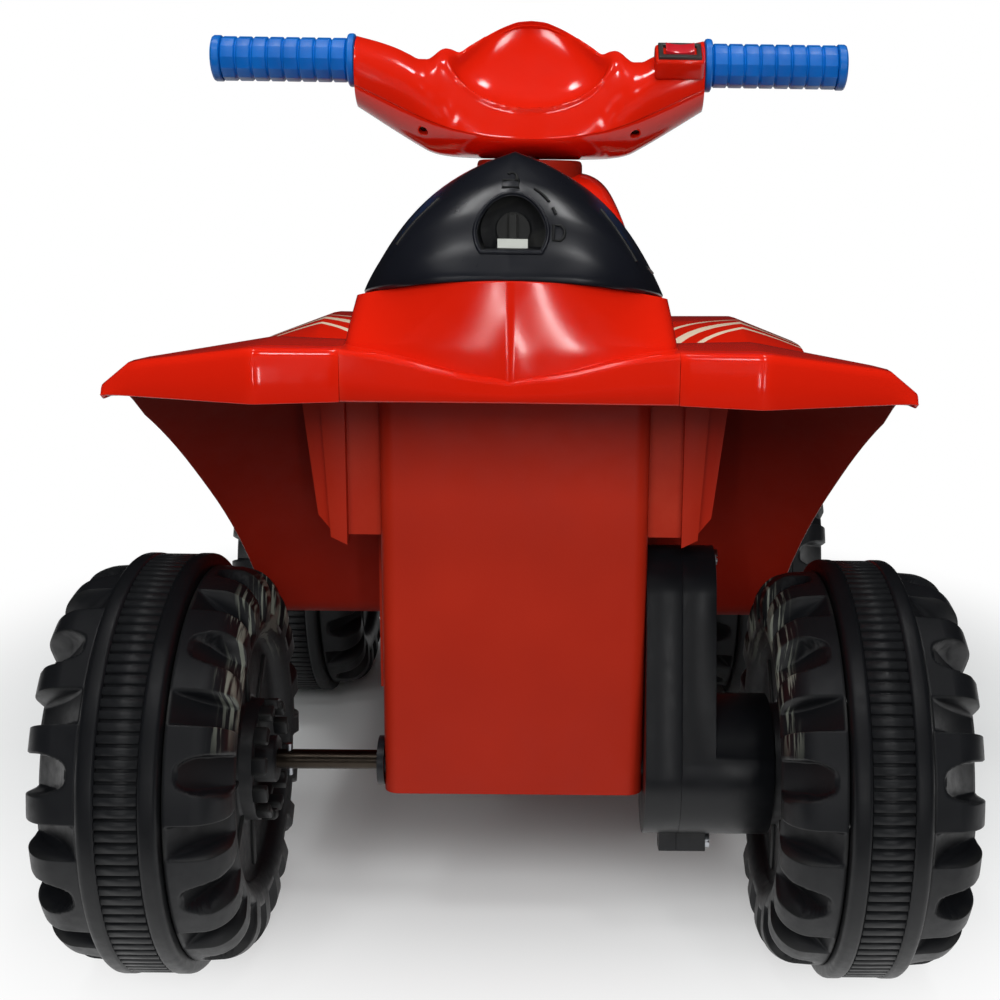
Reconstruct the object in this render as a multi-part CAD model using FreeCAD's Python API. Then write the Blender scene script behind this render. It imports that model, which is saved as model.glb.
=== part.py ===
import FreeCAD, Part
import math
import os
from FreeCAD import Vector

# Ride-on quad bike for a small child. Millimetres, X to the rider's right, Y forward, Z up.

# main sizes
wheelbase = 412.0
overall_width = 440.0
wheel_radius = 106.0
wheel_width = 93.0
nose_overhang = 20.0
wall = 3.0

# clearances
gap = 0.3
running_gap = 0.06
screw_gap = 0.1

# wheel
band_stand = 6.0
band_sunk = 2.0
band_width = 37.0
band_rib_width = 19.0
band_rib_count = 120
band_rib_depth = 1.8
shoulder_run = 14.5
shoulder_drop = 20.0
rim_radius = 62.0
tyre_wall = 12.0
dish_depth = 18.0
disc_wall = 3.5
tread_repeats = 10
scoop_width = 18.0
scoop_start = 25.0
scoop_depth = 2.6
scoop_end_radius = 70.0
trough_width = 15.2
trough_start = 20.2
trough_depth = 1.3
trough_end_radius = 74.0
spoke_count = 6
spoke_width = 9.0
hub_face_inset = 12.0
hub_tube_radius = 12.0
hub_boss_radius = 31.0
hub_boss_wall = 5.0
hub_boss_reach = 5.0
hub_notch_count = 12
hub_notch_width = 8.0
hub_notch_depth = 8.0
cap_radius = 24.0
cap_height = 9.5
cap_wall = 2.5

# axle and stub axles
axle_radius = 5.0
axle_inset = 6.0
push_nut_radius = 9.0
push_nut_thick = 2.6
bush_flange_radius = 12.5
bush_flange_thick = 3.5
bush_radius = 8.0
inner_flange_radius = 9.6
cross_pin_radius = 1.5
cross_pin_length = 17.0
cross_pin_from_hub = 6.0

# lower chassis
drive_room = 55.8
column_back = 13.0
column_front = 46.0
column_low = 93.0
column_corner = 8.0
chassis_top = 296.0
spine_half = 74.0
spine_front = 288.0
spine_low = 130.0
front_box_end = 500.0
front_box_top = 255.0
side_bay_top_half = 105.0
side_bay_low_half = 98.0
side_bay_low = 226.0
side_bay_front = 36.0
flute_inner = 83.0
flute_outer = 94.0
flute_depth = 6.0
stub_room = 50.0
kingpin_reach = 14.0
kingpin_boss_radius = 11.0
kingpin_boss_height = 44.0
column_boss_radius = 12.0
column_boss_height = 30.0

# steering
bend_radius = 10.0
arm_length = 30.0
arm_half = 8.0
arm_thick = 4.0
arm_low = 117.0
tie_thick = 3.0
tie_half = 9.0
tie_pin_radius = 4.0
tie_head_radius = 6.5
tie_head_thick = 2.4
stub_collar_radius = 10.0
stub_collar_thick = 5.0
column_ahead = 257.0
column_radius = 6.0
clip_radius = 9.0
clip_thick = 2.6

# fender panels, heights above the ground and distances ahead of the rear axle
footboard_z = 152.0
footboard_half = 148.0
footboard_mid = 186.0
inner_crown_ahead = -40.0
outer_crown_ahead = -52.0
round_arch = 0.5523
flat_arch = 0.3
rear_arch_foot = 115.0
front_arch_foot = 258.0
front_crown_ahead = 402.0
lip_low = 304.0
fender_edge_half = 183.0
rear_edge_z = 288.0
rear_edge_mid_half = 167.0
rear_edge_mid_z = 226.0
front_tip_half = 204.0
front_edge_mid_half = 175.0
front_edge_mid_z = 218.0
front_edge_z = 274.0
front_lip_ahead = 490.0
front_lip_drop = 26.0
ridge_half = 110.0
ridge_lip_back = 87.0
ridge_z = 328.0
shoulder_half = 169.0
shoulder_lip_back = 66.0
shoulder_z = 319.0
inner_lip_back = 77.0
inner_z = 327.0
edge_lip_back = 62.0
edge_z = 308.0
front_inner_z = 298.0
front_ridge_half = 155.0
front_ridge_z = 299.0
front_tip_z = 281.0
tread_rib_count = 5
tread_rib_pitch = 16.0
tread_rib_width = 4.0
tread_rib_height = 1.6
flange_height = 17.0
flange_length = 30.0
flange_first = 135.0
flange_second = 215.0

# centre body
rim_rear_z = 357.0
rim_slope = 0.09
rim_half = 70.0
rim_back = 72.0
rim_corner_half = 63.0
rim_corner_back = 55.0
rim_side_back = 44.0
tub_back = 70.0
tub_corner_half = 67.0
tub_corner_back = 63.0
tub_side_back = 55.0
tub_break_z = 328.0
tub_end = 190.0
lip_vee_z = 312.0
lip_vee_depth = 8.0
cowl_start = 185.0
neck_radius = 34.0
neck_top = 413.5
neck_base = 396.0
headlight_radius = 13.0
headlight_half = 33.0
headlight_z = 256.0
headlight_stand = 3.0
headlight_sunk = 2.5

# seat
seat_front = 168.0
seat_hinge_ahead = 176.0
seat_hinge_rise = 8.0
hinge_pin_radius = 3.0
hinge_ear_half = 40.0
hinge_ear_thick = 8.0
hinge_eye_radius = 6.5
hump_ahead = -18.0
hump_z = 412.0
lock_z = 378.0
lock_radius = 15.0
lock_flat_z = 370.0
lock_floor_back = 36.0
knob_radius = 7.5
latch_width = 13.5
latch_height = 4.0

# handlebar
bar_z = 474.0
bar_dip_z = 438.0
bar_dip_half = 34.0
bar_bend_half = 88.0
bar_bend_radius = 26.0
bar_radius = 8.0
bar_wall = 1.6
grip_radius = 14.2
grip_inner_x = 111.0
grip_flange_radius = 17.5
grip_flange_thick = 3.5
grip_end_x = 202.0
grip_ring_count = 8
grip_groove_depth = 1.2
grip_groove_width = 2.0
cover_end_x = 110.5
bowl_radius = 84.0
bowl_offset = 71.0
bowl_share = 0.64
crest_flat = 0.6
cover_reach = 60.0
cover_screw_half = 62.0
cover_screw_back = 19.0
cover_screw_drop = 46.0
cover_screw_length = 26.0
cover_screw_radius = 1.7
cover_screw_head = 3.4
cover_screw_head_thick = 2.4
switch_x = 94.0
switch_length = 27.0
switch_width = 16.0
switch_height = 6.0
switch_rim = 3.0
switch_tilt = 38.0
switch_back = 13.0
switch_up = 7.5
rocker_rise = 2.2
rocker_pivot = 1.2
rocker_round = 1.6

# power
battery_x = 70.0
battery_y = 47.0
battery_z = 101.0
battery_ahead = 95.0
terminal_height = 6.0
motor_radius = 14.0
motor_length = 37.0
motor_nose_radius = 5.0
shaft_radius = 1.5

# gearbox
gear_module = 1.0
pressure_angle = 25.0
gear_addendum = 0.85
gear_dedendum = 1.15
gear_backlash = 0.24
pinion_teeth = 12
wheel_teeth = 42
output_teeth = 56
stage_inset = 5.0
stage_pitch = 7.0
stage_width = 6.0
output_width = 9.0
sleeve_radius = 4.1
gear_pin_radius = 2.5
stack_lean = 10.0
box_split = 18.0
box_width = 35.0
drum_radius = 36.0
tower_radius = 25.0
drum_lap = 8.0
drum_bore_gap = 1.5
output_hub_radius = 17.0
dog_count = 4
box_tab_drop = 9.0
box_tab_half = 6.0
box_screw_radius = 2.0
box_screw_head = 4.0

# derived positions
rear_axle_y = -(wheelbase + nose_overhang) / 2
front_axle_y = rear_axle_y + wheelbase
axle_z = wheel_radius
wheel_half = wheel_width / 2
wheel_x = overall_width / 2 - wheel_half
tread_radius = wheel_radius - band_stand
seat_radius = tread_radius - band_sunk
hub_face = wheel_half - hub_face_inset
boss_face = wheel_half + hub_boss_reach
bore_radius = axle_radius + running_gap
axle_end_x = wheel_x + hub_face + axle_inset
hub_inner_x = wheel_x - boss_face
column_half = hub_inner_x - drive_room
kingpin_x = hub_inner_x - stub_room
front_box_half = kingpin_x - kingpin_reach
stage_one_x = column_half + stage_inset
stage_two_x = stage_one_x + stage_pitch
stage_three_x = stage_two_x + stage_pitch
box_split_x = column_half + box_split
box_outer_x = column_half + box_width
drum_end_x = hub_inner_x + drum_lap
arm_top = arm_low + arm_thick
tie_low = arm_top + gap
tie_top = tie_low + tie_thick
boss_low = arm_top + gap
boss_top = boss_low + kingpin_boss_height
second_z = axle_z + gear_module * (output_teeth + pinion_teeth) / 2
first_z = second_z + gear_module * (wheel_teeth + pinion_teeth) / 2
motor_z = first_z + gear_module * (wheel_teeth + pinion_teeth) / 2
panel_inner = spine_half + gap


def ahead(distance):
    return rear_axle_y + distance


def leaned(shape):
    # The gear stack stands upright over the axle, then leans forward about it.
    copy = shape.copy()
    copy.rotate(Vector(0, rear_axle_y, axle_z), Vector(1, 0, 0), -stack_lean)
    return copy


def box(x0, x1, y0, y1, z0, z1):
    return Part.makeBox(x1 - x0, y1 - y0, z1 - z0, Vector(x0, y0, z0))


def rod_x(radius, x0, x1, y, z):
    return Part.makeCylinder(radius, x1 - x0, Vector(x0, y, z), Vector(1, 0, 0))


def rod_y(radius, y0, y1, x, z):
    return Part.makeCylinder(radius, y1 - y0, Vector(x, y0, z), Vector(0, 1, 0))


def rod_z(radius, z0, z1, x, y):
    return Part.makeCylinder(radius, z1 - z0, Vector(x, y, z0), Vector(0, 0, 1))


def joined(shapes):
    return shapes[0].multiFuse(shapes[1:]).removeSplitter()


def mirrored(shape):
    return shape.mirror(Vector(0, 0, 0), Vector(1, 0, 0))


def moved(shape, x, y, z):
    copy = shape.copy()
    copy.translate(Vector(x, y, z))
    return copy


def turned(shape, angle, axis, centre):
    copy = shape.copy()
    copy.rotate(centre, axis, angle)
    return copy


def outline(place, moves):
    # A move is a point for a straight stretch, or (middle, end) for an arc.
    edges = []
    here = moves[0]
    for move in list(moves[1:]) + [moves[0]]:
        if isinstance(move[0], tuple):
            middle, end = move
            edges.append(Part.Arc(place(*here), place(*middle), place(*end)).toShape())
            here = end
        elif move != here:
            edges.append(Part.makeLine(place(*here), place(*move)))
            here = move
    return Part.Wire(edges)


def at_x(x):
    return lambda y, z: Vector(x, y, z)


def at_y(y):
    return lambda x, z: Vector(x, y, z)


def at_z(z):
    return lambda x, y: Vector(x, y, z)


def prism(wire, direction):
    return Part.Face(wire).extrude(direction)


def spun_x(moves, angle=360):
    face = Part.Face(outline(at_y(0), moves))
    return face.revolve(Vector(0, 0, 0), Vector(1, 0, 0), angle)


def ring_of(shape, count):
    copies = []
    for index in range(count):
        copies.append(turned(shape, index * 360.0 / count, Vector(1, 0, 0), Vector(0, 0, 0)))
    return copies


def save(node, shape):
    shape.exportStep("parts/%s.step" % node)


# wheel

def tread_outline():
    mid_x = wheel_half - shoulder_run * 0.24
    mid_r = tread_radius - shoulder_drop * 0.36
    return [
        (0, seat_radius),
        (band_width / 2 + gap, seat_radius),
        (band_width / 2 + gap, tread_radius),
        (wheel_half - shoulder_run, tread_radius - 1),
        ((mid_x, mid_r), (wheel_half, tread_radius - shoulder_drop)),
        (wheel_half - 1, rim_radius + 8),
        (wheel_half - 6, rim_radius),
    ]


def tyre_cavity(disc_x):
    # Inside of one wheel half, from the rim back to the seam.
    inner_r = tread_radius - tyre_wall
    return [
        (disc_x, rim_radius - 6),
        (wheel_half - 10, rim_radius + 5),
        (wheel_half - 12, tread_radius - shoulder_drop - 3),
        (wheel_half - shoulder_run - 7, inner_r),
        (0, inner_r),
    ]


def slanted_space(start, depth, end_radius, width):
    # Room above a floor that falls from the tread to the side of the tyre.
    beyond = wheel_half + wheel_width
    floor = outline(at_y(-width / 2), [
        (start, tread_radius - depth),
        (wheel_half + 2, end_radius),
        (beyond, end_radius),
        (beyond, 2 * wheel_radius),
        (start, 2 * wheel_radius),
    ])
    return prism(floor, Vector(0, width, 0))


def scoop_tool():
    round_r = scoop_width / 2
    beyond = wheel_half + wheel_width
    plan = outline(at_z(0), [
        (beyond, -round_r),
        (scoop_start + round_r, -round_r),
        ((scoop_start, 0), (scoop_start + round_r, round_r)),
        (beyond, round_r),
    ])
    space = slanted_space(scoop_start, scoop_depth, scoop_end_radius, scoop_width)
    return space.common(prism(plan, Vector(0, 0, 2 * wheel_radius)))


def trough_tool():
    # Halfway between two scoops.
    space = slanted_space(trough_start, trough_depth, trough_end_radius, trough_width)
    return turned(space, 180.0 / tread_repeats, Vector(1, 0, 0), Vector(0, 0, 0))


def tread_tools():
    return ring_of(scoop_tool(), tread_repeats) + ring_of(trough_tool(), tread_repeats)


def wheel_outer_half():
    disc_x = wheel_half - dish_depth
    moves = tread_outline() + [
        (disc_x + 4, rim_radius - 4),
        (disc_x, cap_radius + 4),
        (hub_face, cap_radius + 2),
        (hub_face, bore_radius),
        (0, bore_radius),
        (0, hub_tube_radius),
        (disc_x - disc_wall, hub_tube_radius),
    ] + tyre_cavity(disc_x - disc_wall)
    half = spun_x(moves)
    spoke = prism(outline(at_x(disc_x - 1), [
        (-spoke_width / 2 - 2, cap_radius),
        (spoke_width / 2 + 2, cap_radius),
        (spoke_width / 2, rim_radius - 2),
        (-spoke_width / 2, rim_radius - 2),
    ]), Vector(6, 0, 0))
    half = joined([half] + ring_of(spoke, spoke_count))
    return half.cut(Part.makeCompound(tread_tools()))


def wheel_inner_half():
    # Built with its own outward side along +X, then turned over.
    disc_x = wheel_half - hub_face_inset + 2
    boss_in = hub_boss_radius - hub_boss_wall
    moves = tread_outline() + [
        (disc_x, rim_radius - 5),
        (disc_x, hub_boss_radius),
        (boss_face, hub_boss_radius),
        (boss_face, boss_in),
        (disc_x + 2, boss_in),
        (disc_x + 2, hub_tube_radius),
        (boss_face, hub_tube_radius),
        (boss_face, bore_radius),
        (0, bore_radius),
        (0, hub_tube_radius),
        (disc_x - disc_wall, hub_tube_radius),
    ] + tyre_cavity(disc_x - disc_wall)
    half = spun_x(moves)
    notch = box(boss_face - hub_notch_depth, boss_face + 1, -hub_notch_width / 2,
                hub_notch_width / 2, boss_in - 2, hub_boss_radius + 2)
    half = half.cut(Part.makeCompound(tread_tools() + ring_of(notch, hub_notch_count)))
    return mirrored(half)


def traction_band():
    rib_top = wheel_radius - 0.6
    rib_low = rib_top - band_rib_depth
    step = 2 * math.pi / band_rib_count
    points = []
    for index in range(band_rib_count):
        for part, radius in ((-0.34, rib_low), (-0.2, rib_top), (0.2, rib_top), (0.34, rib_low)):
            angle = (index + part) * step
            points.append((radius * math.cos(angle), radius * math.sin(angle)))
    middle = prism(outline(at_x(-band_rib_width / 2), points), Vector(band_rib_width, 0, 0))
    middle = middle.cut(rod_x(seat_radius, -band_width, band_width, 0, 0))
    edge = band_width / 2
    margin = spun_x([
        (band_rib_width / 2, seat_radius),
        (edge, seat_radius),
        (edge, wheel_radius - 3),
        ((edge - 1, wheel_radius - 1), (edge - 3, wheel_radius)),
        (band_rib_width / 2 + 1.5, wheel_radius),
        (band_rib_width / 2, wheel_radius - 1.5),
    ])
    return joined([middle, margin, mirrored(margin)])


def hub_cap():
    top = hub_face + cap_height
    return spun_x([
        (hub_face, cap_radius),
        ((hub_face + cap_height * 0.62, cap_radius * 0.86), (top - 1, cap_radius * 0.45)),
        (top, 0),
        (top - cap_wall, 0),
        (top - cap_wall - 0.5, push_nut_radius + 3),
        (hub_face, push_nut_radius + 3),
    ])


def push_nut(x0, y, z, radius, hole, thick):
    disc = rod_x(radius, x0, x0 + thick, y, z)
    return disc.cut(rod_x(hole, x0 - 1, x0 + thick + 1, y, z))


# gears

def involute_gear(teeth, x0, width, phase):
    pitch_r = gear_module * teeth / 2
    base_r = pitch_r * math.cos(math.radians(pressure_angle))
    tip_r = pitch_r + gear_addendum * gear_module
    root_r = pitch_r - gear_dedendum * gear_module
    half_tooth = (math.pi * gear_module / 2 - gear_backlash) / 2 / pitch_r

    def spread(radius):
        roll = math.acos(min(1.0, base_r / radius))
        return math.tan(roll) - roll

    start_r = max(base_r, root_r)
    radii = [root_r] if start_r > root_r else []
    for step in range(4):
        radii.append(start_r + (tip_r - start_r) * step / 3.0)
    flank = []
    for radius in radii:
        turn = half_tooth + spread(pitch_r) - spread(max(radius, base_r))
        flank.append((radius, turn))
    points = []
    for tooth in range(teeth):
        centre = math.radians(phase) + 2 * math.pi * tooth / teeth
        for radius, turn in flank:
            points.append((radius * math.cos(centre - turn), radius * math.sin(centre - turn)))
        for radius, turn in reversed(flank):
            points.append((radius * math.cos(centre + turn), radius * math.sin(centre + turn)))
    return prism(outline(at_x(x0), points), Vector(width, 0, 0))


def facing_gap(teeth):
    # Turn that puts the space between two teeth straight down.
    return -90.0 + 180.0 / teeth


def first_gear():
    big = involute_gear(wheel_teeth, stage_one_x, stage_width, 90.0)
    small = involute_gear(pinion_teeth, stage_one_x + stage_width, stage_pitch, facing_gap(pinion_teeth))
    sleeve = rod_x(sleeve_radius, column_half + wall + gap, box_outer_x - wall - gap, 0, 0)
    gear = joined([big, small, sleeve])
    gear = gear.cut(rod_x(gear_pin_radius + running_gap, 0, 200, 0, 0))
    return leaned(moved(gear, 0, rear_axle_y, first_z))


def second_gear():
    big = involute_gear(wheel_teeth, stage_two_x, stage_width, 90.0)
    small_width = stage_pitch + output_width - stage_width
    small = involute_gear(pinion_teeth, stage_two_x + stage_width, small_width, facing_gap(pinion_teeth))
    sleeve = rod_x(sleeve_radius, column_half + wall + gap, box_outer_x - wall - gap, 0, 0)
    gear = joined([big, small, sleeve])
    gear = gear.cut(rod_x(gear_pin_radius + running_gap, 0, 200, 0, 0))
    return leaned(moved(gear, 0, rear_axle_y, second_z))


def motor_pinion():
    teeth = involute_gear(pinion_teeth, stage_one_x, stage_width, facing_gap(pinion_teeth))
    shaft = rod_x(shaft_radius, column_half - motor_length + 4, stage_one_x + stage_width, 0, 0)
    return leaned(moved(joined([teeth, shaft]), 0, rear_axle_y, motor_z))


def output_gear():
    dog_x = hub_inner_x
    gear = involute_gear(output_teeth, stage_three_x, output_width, 90.0 - stack_lean)
    hub = rod_x(output_hub_radius, stage_three_x, dog_x - gap, 0, 0)
    plate = rod_x(hub_boss_radius - 1, dog_x - gap - 4, dog_x - gap, 0, 0)
    dog = box(dog_x - gap - 1, dog_x + hub_notch_depth - gap, -hub_notch_width / 2 + gap,
              hub_notch_width / 2 - gap, hub_boss_radius - hub_boss_wall + 0.5, hub_boss_radius - 1)
    gear = joined([gear, hub, plate] + ring_of(dog, dog_count))
    gear = gear.cut(rod_x(bore_radius, 0, 200, 0, 0))
    return moved(gear, 0, rear_axle_y, axle_z)


def box_profile(x0, x1, inset):
    low = drum_radius - inset
    top = tower_radius - inset
    wire = outline(at_x(x0), [
        (rear_axle_y - low, axle_z),
        ((rear_axle_y, axle_z - low), (rear_axle_y + low, axle_z)),
        (rear_axle_y + top, motor_z),
        ((rear_axle_y, motor_z + top), (rear_axle_y - top, motor_z)),
    ])
    return prism(wire, Vector(x1 - x0, 0, 0))


def box_screw_places():
    low = axle_z - drum_radius - box_tab_drop / 2
    top = motor_z + tower_radius - wall - 3
    return [(rear_axle_y, low), (rear_axle_y, top)]


def gearbox_inner():
    shell = box_profile(column_half, box_split_x, 0)
    tab = box(stage_three_x - 10, box_split_x, rear_axle_y - box_tab_half, rear_axle_y + box_tab_half,
              axle_z - drum_radius - box_tab_drop, axle_z - drum_radius + 2)
    y, z = box_screw_places()[1]
    cavity = box_profile(column_half + wall, box_split_x + 1, wall)
    post = rod_x(box_screw_radius + 2, column_half, box_split_x, y, z)
    shell = joined([shell.cut(cavity), tab, post])
    holes = [
        rod_x(bush_radius + gap, column_half - 1, column_half + wall + 1, rear_axle_y, axle_z),
        rod_x(motor_nose_radius + gap, column_half - 1, column_half + wall + 1, rear_axle_y, motor_z),
        rod_x(gear_pin_radius, column_half + 1, column_half + wall + 1, rear_axle_y, first_z),
        rod_x(gear_pin_radius, column_half + 1, column_half + wall + 1, rear_axle_y, second_z),
    ]
    for y, z in box_screw_places():
        holes.append(rod_x(box_screw_radius + screw_gap, box_split_x - 9, box_split_x + 1, y, z))
    return leaned(shell.cut(Part.makeCompound(holes)))


def gearbox_outer():
    shell = box_profile(box_split_x, box_outer_x, 0)
    drum = rod_x(drum_radius, box_split_x, drum_end_x, rear_axle_y, axle_z)
    tab = box(box_split_x, box_outer_x - 2, rear_axle_y - box_tab_half, rear_axle_y + box_tab_half,
              axle_z - drum_radius - box_tab_drop, axle_z - drum_radius + 2)
    y, z = box_screw_places()[1]
    post = rod_x(box_screw_radius + 2, box_split_x, box_outer_x, y, z)
    outer = joined([shell, drum, tab])
    collar = rod_x(hub_boss_radius + drum_bore_gap, box_outer_x + 4, drum_end_x + 1, rear_axle_y, axle_z)
    cavity = box_profile(box_split_x - 1, box_outer_x - wall, wall)
    outer = joined([outer.cut(cavity), post]).cut(collar)
    holes = [
        rod_x(output_hub_radius + 1, box_split_x, drum_end_x, rear_axle_y, axle_z),
        rod_x(gear_pin_radius, box_outer_x - wall - 1, box_outer_x - 1, rear_axle_y, first_z),
        rod_x(gear_pin_radius, box_outer_x - wall - 1, box_outer_x - 1, rear_axle_y, second_z),
    ]
    for y, z in box_screw_places():
        holes.append(rod_x(box_screw_radius + screw_gap, box_split_x - 1, box_outer_x + 1, y, z))
    return leaned(outer.cut(Part.makeCompound(holes)))


def gearbox_screws():
    screws = []
    for (y, z), seat_x in zip(box_screw_places(), (box_outer_x - 2, box_outer_x)):
        shank = rod_x(box_screw_radius, box_split_x - 8, seat_x + 1, y, z)
        head = rod_x(box_screw_head, seat_x, seat_x + 2.4, y, z)
        slot = box(seat_x + 1.4, seat_x + 3, y - box_screw_head, y + box_screw_head, z - 0.5, z + 0.5)
        screws.append(leaned(joined([shank, head]).cut(slot)))
    return Part.makeCompound(screws)


def gear_pins():
    pins = []
    for z in (first_z, second_z):
        pins.append(leaned(rod_x(gear_pin_radius, column_half + 1, box_outer_x - 1, rear_axle_y, z)))
    return Part.makeCompound(pins)


def motor():
    can = rod_x(motor_radius, column_half - motor_length, column_half, rear_axle_y, motor_z)
    nose = rod_x(motor_nose_radius, column_half, column_half + 2, rear_axle_y, motor_z)
    tail = rod_x(motor_nose_radius, column_half - motor_length - 3, column_half - motor_length,
                 rear_axle_y, motor_z)
    body = joined([can, nose, tail])
    bore = rod_x(shaft_radius + running_gap, column_half - motor_length + 3, column_half + 3,
                 rear_axle_y, motor_z)
    return leaned(body.cut(bore))


# axle pieces

def axle_bushes():
    bushes = []
    outside = (bush_flange_radius, -column_half - bush_flange_thick, -column_half + wall)
    inside = (inner_flange_radius, column_half - wall - bush_flange_thick, column_half + wall)
    for flange_radius, flange_x, sleeve_to in (outside, inside):
        flange = rod_x(flange_radius, flange_x, flange_x + bush_flange_thick, rear_axle_y, axle_z)
        sleeve = rod_x(bush_radius, flange_x, sleeve_to, rear_axle_y, axle_z)
        bore = rod_x(axle_radius, -200, 200, rear_axle_y, axle_z)
        bushes.append(joined([flange, sleeve]).cut(bore))
    return Part.makeCompound(bushes)


def cross_pin_x():
    return cross_pin_from_hub - hub_inner_x


def rear_axle():
    rod = rod_x(axle_radius, -axle_end_x, axle_end_x, rear_axle_y, axle_z)
    hole = rod_z(cross_pin_radius, axle_z - 20, axle_z + 20, cross_pin_x(), rear_axle_y)
    return rod.cut(hole)


def axle_cross_pin():
    half = cross_pin_length / 2
    return rod_z(cross_pin_radius, axle_z - half, axle_z + half, cross_pin_x(), rear_axle_y)


def axle_push_nuts():
    nut = push_nut(wheel_x + hub_face + gap, rear_axle_y, axle_z, push_nut_radius, axle_radius,
                   push_nut_thick)
    return Part.makeCompound([nut, mirrored(nut)])


# steering pieces

def right_knuckle():
    y = front_axle_y
    top = boss_top + gap + clip_thick + 2
    up = Part.makeLine(Vector(kingpin_x, y, top), Vector(kingpin_x, y, axle_z + bend_radius))
    half = bend_radius * (1 - math.cos(math.pi / 4))
    bend = Part.Arc(Vector(kingpin_x, y, axle_z + bend_radius),
                    Vector(kingpin_x + half, y, axle_z + half),
                    Vector(kingpin_x + bend_radius, y, axle_z)).toShape()
    out = Part.makeLine(Vector(kingpin_x + bend_radius, y, axle_z), Vector(axle_end_x, y, axle_z))
    profile = Part.Wire(Part.makeCircle(axle_radius, Vector(kingpin_x, y, top), Vector(0, 0, 1)))
    rod = Part.Wire([up, bend, out]).makePipeShell([profile], True, False)
    collar_x = hub_inner_x - gap - stub_collar_thick
    collar = rod_x(stub_collar_radius, collar_x, collar_x + stub_collar_thick, y, axle_z)
    pin_y = y + arm_length
    arm = joined([
        box(kingpin_x - arm_half, kingpin_x + arm_half, y, pin_y, arm_low, arm_top),
        rod_z(arm_half, arm_low, arm_top, kingpin_x, y),
        rod_z(arm_half, arm_low, arm_top, kingpin_x, pin_y),
    ])
    pin = rod_z(tie_pin_radius, arm_top, tie_top + gap, kingpin_x, pin_y)
    head = rod_z(tie_head_radius, tie_top + gap, tie_top + gap + tie_head_thick, kingpin_x, pin_y)
    return joined([rod, collar, arm, pin, head])


def kingpin_clip():
    low = boss_top + gap
    disc = rod_z(clip_radius, low, low + clip_thick, kingpin_x, front_axle_y)
    return disc.cut(rod_z(axle_radius, low - 1, low + clip_thick + 1, kingpin_x, front_axle_y))


def tie_plate():
    pin_y = front_axle_y + arm_length
    crank_y = ahead(column_ahead) + arm_length
    bar = box(-kingpin_x, kingpin_x, pin_y - tie_half, pin_y + tie_half, tie_low, tie_top)
    tongue = box(-tie_half, tie_half, crank_y, pin_y, tie_low, tie_top)
    ends = [
        rod_z(tie_half, tie_low, tie_top, -kingpin_x, pin_y),
        rod_z(tie_half, tie_low, tie_top, kingpin_x, pin_y),
        rod_z(tie_half, tie_low, tie_top, 0, crank_y),
    ]
    plate = joined([bar, tongue] + ends)
    holes = [
        rod_z(tie_pin_radius + running_gap, tie_low - 1, tie_top + 1, -kingpin_x, pin_y),
        rod_z(tie_pin_radius + gap, tie_low - 1, tie_top + 1, kingpin_x, pin_y),
        rod_z(tie_pin_radius + gap, tie_low - 1, tie_top + 1, 0, crank_y),
    ]
    return plate.cut(Part.makeCompound(holes))


def steering_column():
    y = ahead(column_ahead)
    crank_y = y + arm_length
    rod = rod_z(column_radius, arm_low, bar_dip_z - bar_radius, 0, y)
    crank = joined([
        box(-arm_half, arm_half, y, crank_y, arm_low, arm_top),
        rod_z(arm_half, arm_low, arm_top, 0, y),
        rod_z(arm_half, arm_low, arm_top, 0, crank_y),
    ])
    pin = rod_z(tie_pin_radius, arm_top, tie_top + gap, 0, crank_y)
    head = rod_z(tie_head_radius, tie_top + gap, tie_top + gap + tie_head_thick, 0, crank_y)
    collar = rod_z(column_radius + 3, boss_low + 2, spine_low - gap, 0, y)
    return joined([rod, crank, pin, head, collar])


# fender panels

def quarter(start, end, x, rise_first, soft):
    # Quarter of an arch in a plane across the bike; a low softness draws it nearer its chord.
    y0, z0 = start
    y1, z1 = end
    if rise_first:
        one = (y0, z0 + (z1 - z0) * soft)
        two = (y1 - (y1 - y0) * soft, z1)
    else:
        one = (y0 + (y1 - y0) * soft, z0)
        two = (y1, z1 - (z1 - z0) * soft)
    curve = Part.BezierCurve()
    curve.setPoles([Vector(x, y0, z0), Vector(x, one[0], one[1]), Vector(x, two[0], two[1]),
                    Vector(x, y1, z1)])
    return curve.toShape()


def path_wire(x, stretches, soft):
    edges = []
    for kind, start, end in stretches:
        if kind == "line":
            edges.append(Part.makeLine(Vector(x, *start), Vector(x, *end)))
        else:
            edges.append(quarter(start, end, x, kind == "rise", soft))
    return Part.Wire(edges)


def rear_section(x, lip_back, crown_z, crown_ahead, soft):
    low = (ahead(-lip_back), lip_low)
    top = (ahead(-lip_back) + 2, crown_z)
    crown = (ahead(crown_ahead), crown_z)
    foot = (ahead(rear_arch_foot), footboard_z)
    end = (ahead(footboard_mid), footboard_z)
    end_low = (ahead(footboard_mid), footboard_z - wall)
    foot_in = (ahead(rear_arch_foot) - wall, footboard_z - wall)
    crown_in = (ahead(crown_ahead), crown_z - wall)
    top_in = (ahead(-lip_back) + 2 + wall, crown_z - wall)
    low_in = (ahead(-lip_back) + wall, lip_low)
    return path_wire(x, [
        ("line", low, top), ("line", top, crown), ("fall", crown, foot), ("line", foot, end),
        ("line", end, end_low), ("line", end_low, foot_in), ("rise", foot_in, crown_in),
        ("line", crown_in, top_in), ("line", top_in, low_in), ("line", low_in, low),
    ], soft)


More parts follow.
